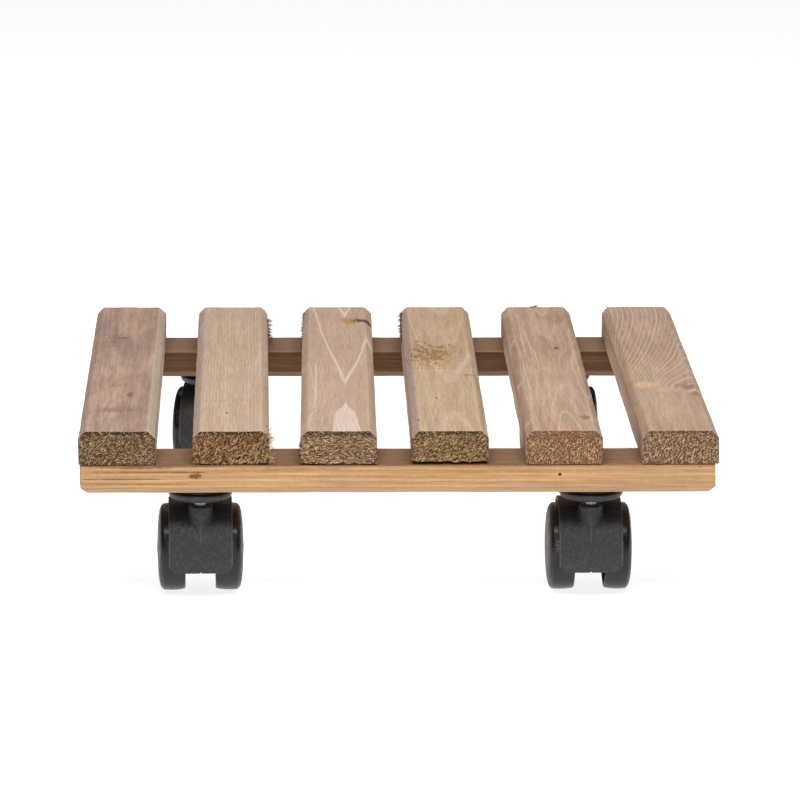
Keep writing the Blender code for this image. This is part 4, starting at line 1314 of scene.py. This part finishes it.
def hood_mesh():
    """The hood: band, web, socket and axle boss joined, remeshed, smoothed, then bored."""
    band = solid_mesh("band", hood_band_rings())
    web = cap_mesh("web", hood_web_rings())
    socket_profile = eased([(0.0001, SOCKET_FOOT), (SOCKET_RADIUS - 0.0004, SOCKET_FOOT),
                            (SOCKET_RADIUS, SOCKET_RIM - 0.003), (SOCKET_RADIUS, SOCKET_RIM),
                            (0.0001, SOCKET_RIM)], 0.0006)
    socket = solid_mesh("socket", turned_rings(socket_profile, 64))
    middle = Vector((0.0, TRAIL, WHEEL_RADIUS))
    boss_profile = [(0.0001, -BOSS_HALF), (BOSS_RADIUS, -BOSS_HALF), (BOSS_RADIUS, BOSS_HALF),
                    (0.0001, BOSS_HALF)]
    boss = along_x(solid_mesh("boss", turned_rings(boss_profile, 48)), middle)
    solid = joined("hood", [outward(part) for part in (band, web, socket, boss)])
    soft = applied(solid, [("REMESH", dict(mode="VOXEL", voxel_size=HOOD_VOXEL, adaptivity=0.0)),
                           ("SMOOTH", dict(factor=0.5, iterations=4))])
    bore = hidden_tool("bore", outward(solid_mesh("bore", turned_rings(
        eased([(0.0001, 0.0335), (0.0041, 0.0335), (0.0041, 0.0548), (0.0052, 0.0560), (0.0001, 0.0560)],
              0.0002), 48))))
    pin_profile = [(0.0001, -PIN_REACH), (PIN_BORE, -PIN_REACH), (PIN_BORE, PIN_REACH),
                   (0.0001, PIN_REACH)]
    pin = hidden_tool("pin", outward(along_x(solid_mesh("pin", turned_rings(pin_profile, 40)), middle)))
    notch = [(-0.0009, -0.002), (0.0009, -0.002), (0.0006, 0.0007), (-0.0006, 0.0007)]
    notch_rings = [[(x, TRAIL - back, HOOD_FRONT_EDGE + rise) for x,
                    rise in notch] for back in (0.034, 0.020)]
    gate = hidden_tool("gate", outward(cap_mesh("gate", np.array(notch_rings))))
    cuts = [("BOOLEAN", dict(operation="DIFFERENCE", solver="EXACT",
                             object=tool)) for tool in (bore, pin, gate)]
    finished = applied(soft, cuts)
    for tool in (bore, pin, gate):
        bpy.data.objects.remove(tool)
    finished.materials.clear()
    finished.materials.append(hood_nylon)
    places = np.zeros(len(finished.vertices) * 3, np.float32)
    finished.vertices.foreach_get("co", places)
    across = finished.attributes.new("across", "FLOAT", "POINT")
    across.data.foreach_set("value", places[0::3].copy())
    return finished


hood = hood_mesh()
for corner, (spot, turn) in CASTERS.items():
    mesh = moved_mesh(hood, corner + "_moulded_hood", spot, turn)
    made = add_piece(mesh.name, mesh, corner + "_caster", [corner + "_hood"], 40.0)
    print(made.name, len(made.data.polygons), "faces")


# %% [markdown]
# A wheel is a shallow cup: a slightly crowned tread, a domed outer face with a soft shoulder, and
# inside it a hub held by thin ribs. The crown narrows the light that the tread throws back.

# %% The wheels
WHEEL_RIBS = 8
TREAD_INSIDE = 0.0092
TREAD_OUTSIDE = 0.0229
TREAD_RADIUS = 0.0244


def wheel_profile():
    """Outline from the dome's middle over the crowned tread to the inner rim and the hub's bore."""
    dome = [(0.00001, 0.0258), (0.004, 0.0255), (0.014, 0.0251), (0.020, 0.0245), (0.0230, 0.0238),
            (0.0243, 0.0232), (0.0252, 0.0224)]
    width = np.linspace(0.0218, 0.0098, 26)
    crown = WHEEL_RADIUS - 0.00045 * np.abs((width - 0.0170) / 0.0060) ** 2.2
    tread = list(zip(crown.tolist(), width.tolist()))
    cup = [(0.0248, 0.0090), (0.0227, 0.0090), (0.0225, 0.0200), (0.0058, 0.0205), (0.0058, 0.0093),
           (0.0027, 0.0093), (0.0027, 0.0230), (0.00001, 0.0231)]
    return eased(dome + tread + cup, 0.0005, 3)


def wheel_rib_rings(angle):
    """One rib: a thin tapered wall from the hub to the rim, as two outlines."""
    inner, outer, thick, low, high = 0.0050, 0.0232, 0.0005, 0.0125, 0.0206
    outline = np.array([(inner, low - 0.001), (outer, low), (outer, high), (inner, high)])
    cosine, sine = math.cos(angle), math.sin(angle)
    rings = []
    for side in (-thick, thick):
        x = outline[:, 0] * cosine - side * sine
        y = outline[:, 0] * sine + side * cosine
        rings.append(np.stack([x, y, outline[:, 1]], axis=-1))
    return np.array(rings)


def wheel_mesh():
    """A wheel with its axle on Z: the turned cup and its ribs, dome and tread in two finishes."""
    cup = outward(solid_mesh("cup", turned_rings(wheel_profile(), 96)))
    ribs = [outward(cap_mesh("rib", wheel_rib_rings(math.tau * number / WHEEL_RIBS)))
            for number in range(WHEEL_RIBS)]
    mesh = joined("wheel", [cup, *ribs])
    mesh.materials.append(dome_nylon)
    mesh.materials.append(tread_nylon)
    middles = np.array([face.center for face in mesh.polygons])
    radius = np.hypot(middles[:, 0], middles[:, 1])
    between = (middles[:, 2] < TREAD_OUTSIDE) & (middles[:, 2] > TREAD_INSIDE)
    on_tread = (radius > TREAD_RADIUS) & between
    mesh.polygons.foreach_set("material_index", on_tread.astype(np.int32))
    return mesh


wheel = wheel_mesh()
for corner, (spot, turn) in CASTERS.items():
    for side, quarter in (("left", -math.pi / 2), ("right", math.pi / 2)):
        mesh = wheel.copy()
        mesh.name = f"{corner}_{side}_moulded_wheel"
        mesh.transform(Matrix.Translation((0.0, TRAIL, WHEEL_RADIUS)) @ Matrix.Rotation(quarter, 4, "Y"))
        mesh.transform(Matrix.Translation(spot) @ Matrix.Rotation(turn, 4, "Z"))
        made = add_piece(mesh.name, mesh, f"{corner}_wheel_{side}",
                         [f"{corner}_wheel_{side}"], 32.0)
print("wheels:", 2 * len(CORNERS), "of", len(wheel.polygons), "faces")

# %% [markdown]
# The mounting plate is a dished disc that hangs from a smaller pad, so a dark gap shows between it
# and the batten. Its rim is rolled, and a shallow step on its underside frames the screws.

# %% Mounting plates
PLATE_LOW, PLATE_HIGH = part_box("front_left_mounting_plate")
PLATE_RADIUS = (PLATE_HIGH.x - PLATE_LOW.x) / 2


def plate_mesh():
    """Pad, dished disc with a rolled rim, and a stepped underside, turned about the stem."""
    top = PLATE_HIGH.z
    bottom = PLATE_LOW.z
    profile = [(0.0047, top), (0.0145, top), (0.0145, top - 0.0021), (PLATE_RADIUS - 0.0002,
                                                                      top - 0.0021),
               (PLATE_RADIUS, top - 0.0028), (PLATE_RADIUS - 0.0004, top - 0.0046),
               (PLATE_RADIUS - 0.0016, top - 0.0060), (0.0150, bottom + 0.0004), (0.0143, bottom),
               (0.0060, bottom), (0.0053, bottom + 0.0004), (0.0047, bottom + 0.0004)]
    rings = turned_rings(eased(profile, 0.0004, 4, closed=True), 96)
    return outward(hollow_mesh("plate", rings))


plate = plate_mesh()
plate.materials.append(plate_nylon)
for corner, (spot, turn) in CASTERS.items():
    mesh = moved_mesh(plate, corner + "_dished_plate", spot, 0.0)
    made = add_piece(mesh.name, mesh, "deck", [corner + "_mounting_plate"], 40.0)
print("plates:", len(CORNERS), "of", len(plate.polygons), "faces")


# %% Stems, grip rings and axles
def stem_mesh():
    """The steel stem: riveted head in the plate, collar below it, shank, grip groove and round end."""
    low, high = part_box("front_left_stem")
    profile = [(0.00001, high.z), (0.0044, high.z), (0.0044, high.z - 0.0072), (0.0052, high.z - 0.0074),
               (0.0052, high.z - 0.0082), (0.0038, high.z - 0.0088), (0.0038, high.z - 0.0153),
               (0.0031, high.z - 0.0156), (0.0031, high.z - 0.0175), (0.0038, high.z - 0.0178),
               (0.0038, low.z + 0.001), (0.0029, low.z), (0.00001, low.z)]
    return outward(solid_mesh("stem", turned_rings(eased(profile, 0.0003, 3), 64)))


def axle_mesh():
    """The axle pin along X: chamfered ends and two rows of fine knurl where the wheels grip."""
    low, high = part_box("front_right_axle")
    half = (high.x - low.x) / 2
    station = np.linspace(-half, half, 120)
    angle = np.linspace(0.0, math.tau, 40, endpoint=False)
    knurled = (np.abs(np.abs(station) - 0.0185) < 0.002)[:, None]
    radius = 0.0024 - np.clip(np.abs(station)[:, None] - half + 0.0006, 0.0, 0.0006)
    radius = radius + knurled * 0.00007 * np.cos(angle * 20)
    x = np.repeat(station[:, None], 40, axis=1)
    rings = np.stack([x, TRAIL + radius * np.cos(angle), WHEEL_RADIUS + radius * np.sin(angle)], axis=-1)
    return outward(solid_mesh("axle", rings))


stem = stem_mesh()
axle = axle_mesh()
stem.materials.append(stem_zinc)
axle.materials.append(stem_zinc)
for corner, (spot, turn) in CASTERS.items():
    mesh = moved_mesh(stem, corner + "_plated_stem", spot, 0.0)
    add_piece(mesh.name, mesh, "deck", [corner + "_stem"])
    mesh = moved_mesh(axle, corner + "_axle_pin", spot, turn)
    add_piece(mesh.name, mesh, corner + "_caster", [corner + "_axle"])
    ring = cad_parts[corner + "_grip_ring"]
    for slot in ring.material_slots:
        slot.material = stem_zinc
print("stems and axles:", len(CORNERS), "each; the grip rings keep their packed shape")


# %% [markdown]
# A chipboard screw has a countersunk head with a cross recess, a core, and a thread that winds
# round it. Head and thread are both radii or heights worked out over angle and distance.

# %% Screws
def screw_rings(length, core, head_radius):
    """Recessed head, cone and helical thread, pointing down from zero, as rings round Z."""
    columns = 48
    angle = np.linspace(0.0, math.tau, columns, endpoint=False)
    share = np.linspace(0.02, 1.0, 22)[:, None]
    x = head_radius * share * np.cos(angle)
    y = head_radius * share * np.sin(angle)
    slot_width = head_radius * 0.17
    arm = np.minimum(np.abs(x), np.abs(y))
    inside = np.clip((slot_width - arm) / (slot_width * 0.5), 0.0, 1.0)
    reach = np.clip((0.62 - share) / 0.12, 0.0, 1.0)
    depth = -head_radius * 0.55 * inside * reach * (1.0 - 0.4 * share)
    top = np.stack([x, y, depth], axis=-1)
    cone = head_radius - core
    heights = np.concatenate([[-0.0004], -0.0004 - np.linspace(0.15, 1.0, 5) * cone])
    radii = np.concatenate([[head_radius], head_radius - np.linspace(0.15, 1.0, 5) * cone])
    start = heights[-1]
    run = np.linspace(start - 0.0002, -length, 110)
    taper = np.clip((run + length) / (core * 2.6), 0.02, 1.0)
    pitch_length = core * 1.5
    turns = (run[:, None] / pitch_length - angle[None, :] / math.tau) % 1.0
    thread = np.clip(1.0 - np.abs(turns - 0.5) * 5.0, 0.0, 1.0) * core * 0.34
    shank = (core * 0.78 + thread) * taper[:, None]
    all_radii = np.concatenate([np.repeat(radii[:, None], columns, axis=1), shank])
    all_heights = np.concatenate([heights, run])
    lower = np.stack([all_radii * np.cos(angle), all_radii * np.sin(angle),
                      np.repeat(all_heights[:, None], columns, axis=1)], axis=-1)
    return np.concatenate([top, lower])


def add_screw(node, master, spot):
    """A copy of a master screw, pointing up into the wood from its head's middle."""
    mesh = master.copy()
    mesh.name = node + "_countersunk"
    mesh.transform(Matrix.Translation(spot) @ Matrix.Rotation(math.pi, 4, "X"))
    return add_piece(mesh.name, mesh, "deck", [node])


slat_screw = outward(solid_mesh("slat_screw", screw_rings(0.030, 0.0019, 0.0037)))
plate_screw = outward(solid_mesh("plate_screw", screw_rings(0.018, 0.0015, 0.0028)))
slat_screw.materials.append(screw_zinc)
plate_screw.materials.append(screw_zinc)
screw_nodes = [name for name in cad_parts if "_screw_" in name]
for node in sorted(screw_nodes):
    low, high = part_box(node)
    middle = (low + high) / 2
    master, proud = (slat_screw, 0.0001) if node.startswith("slat") else (plate_screw, 0.0002)
    add_screw(node, master, Vector((middle.x, middle.y, low.z - proud)))
print("screws:", len(screw_nodes), "of", len(slat_screw.polygons), "faces")
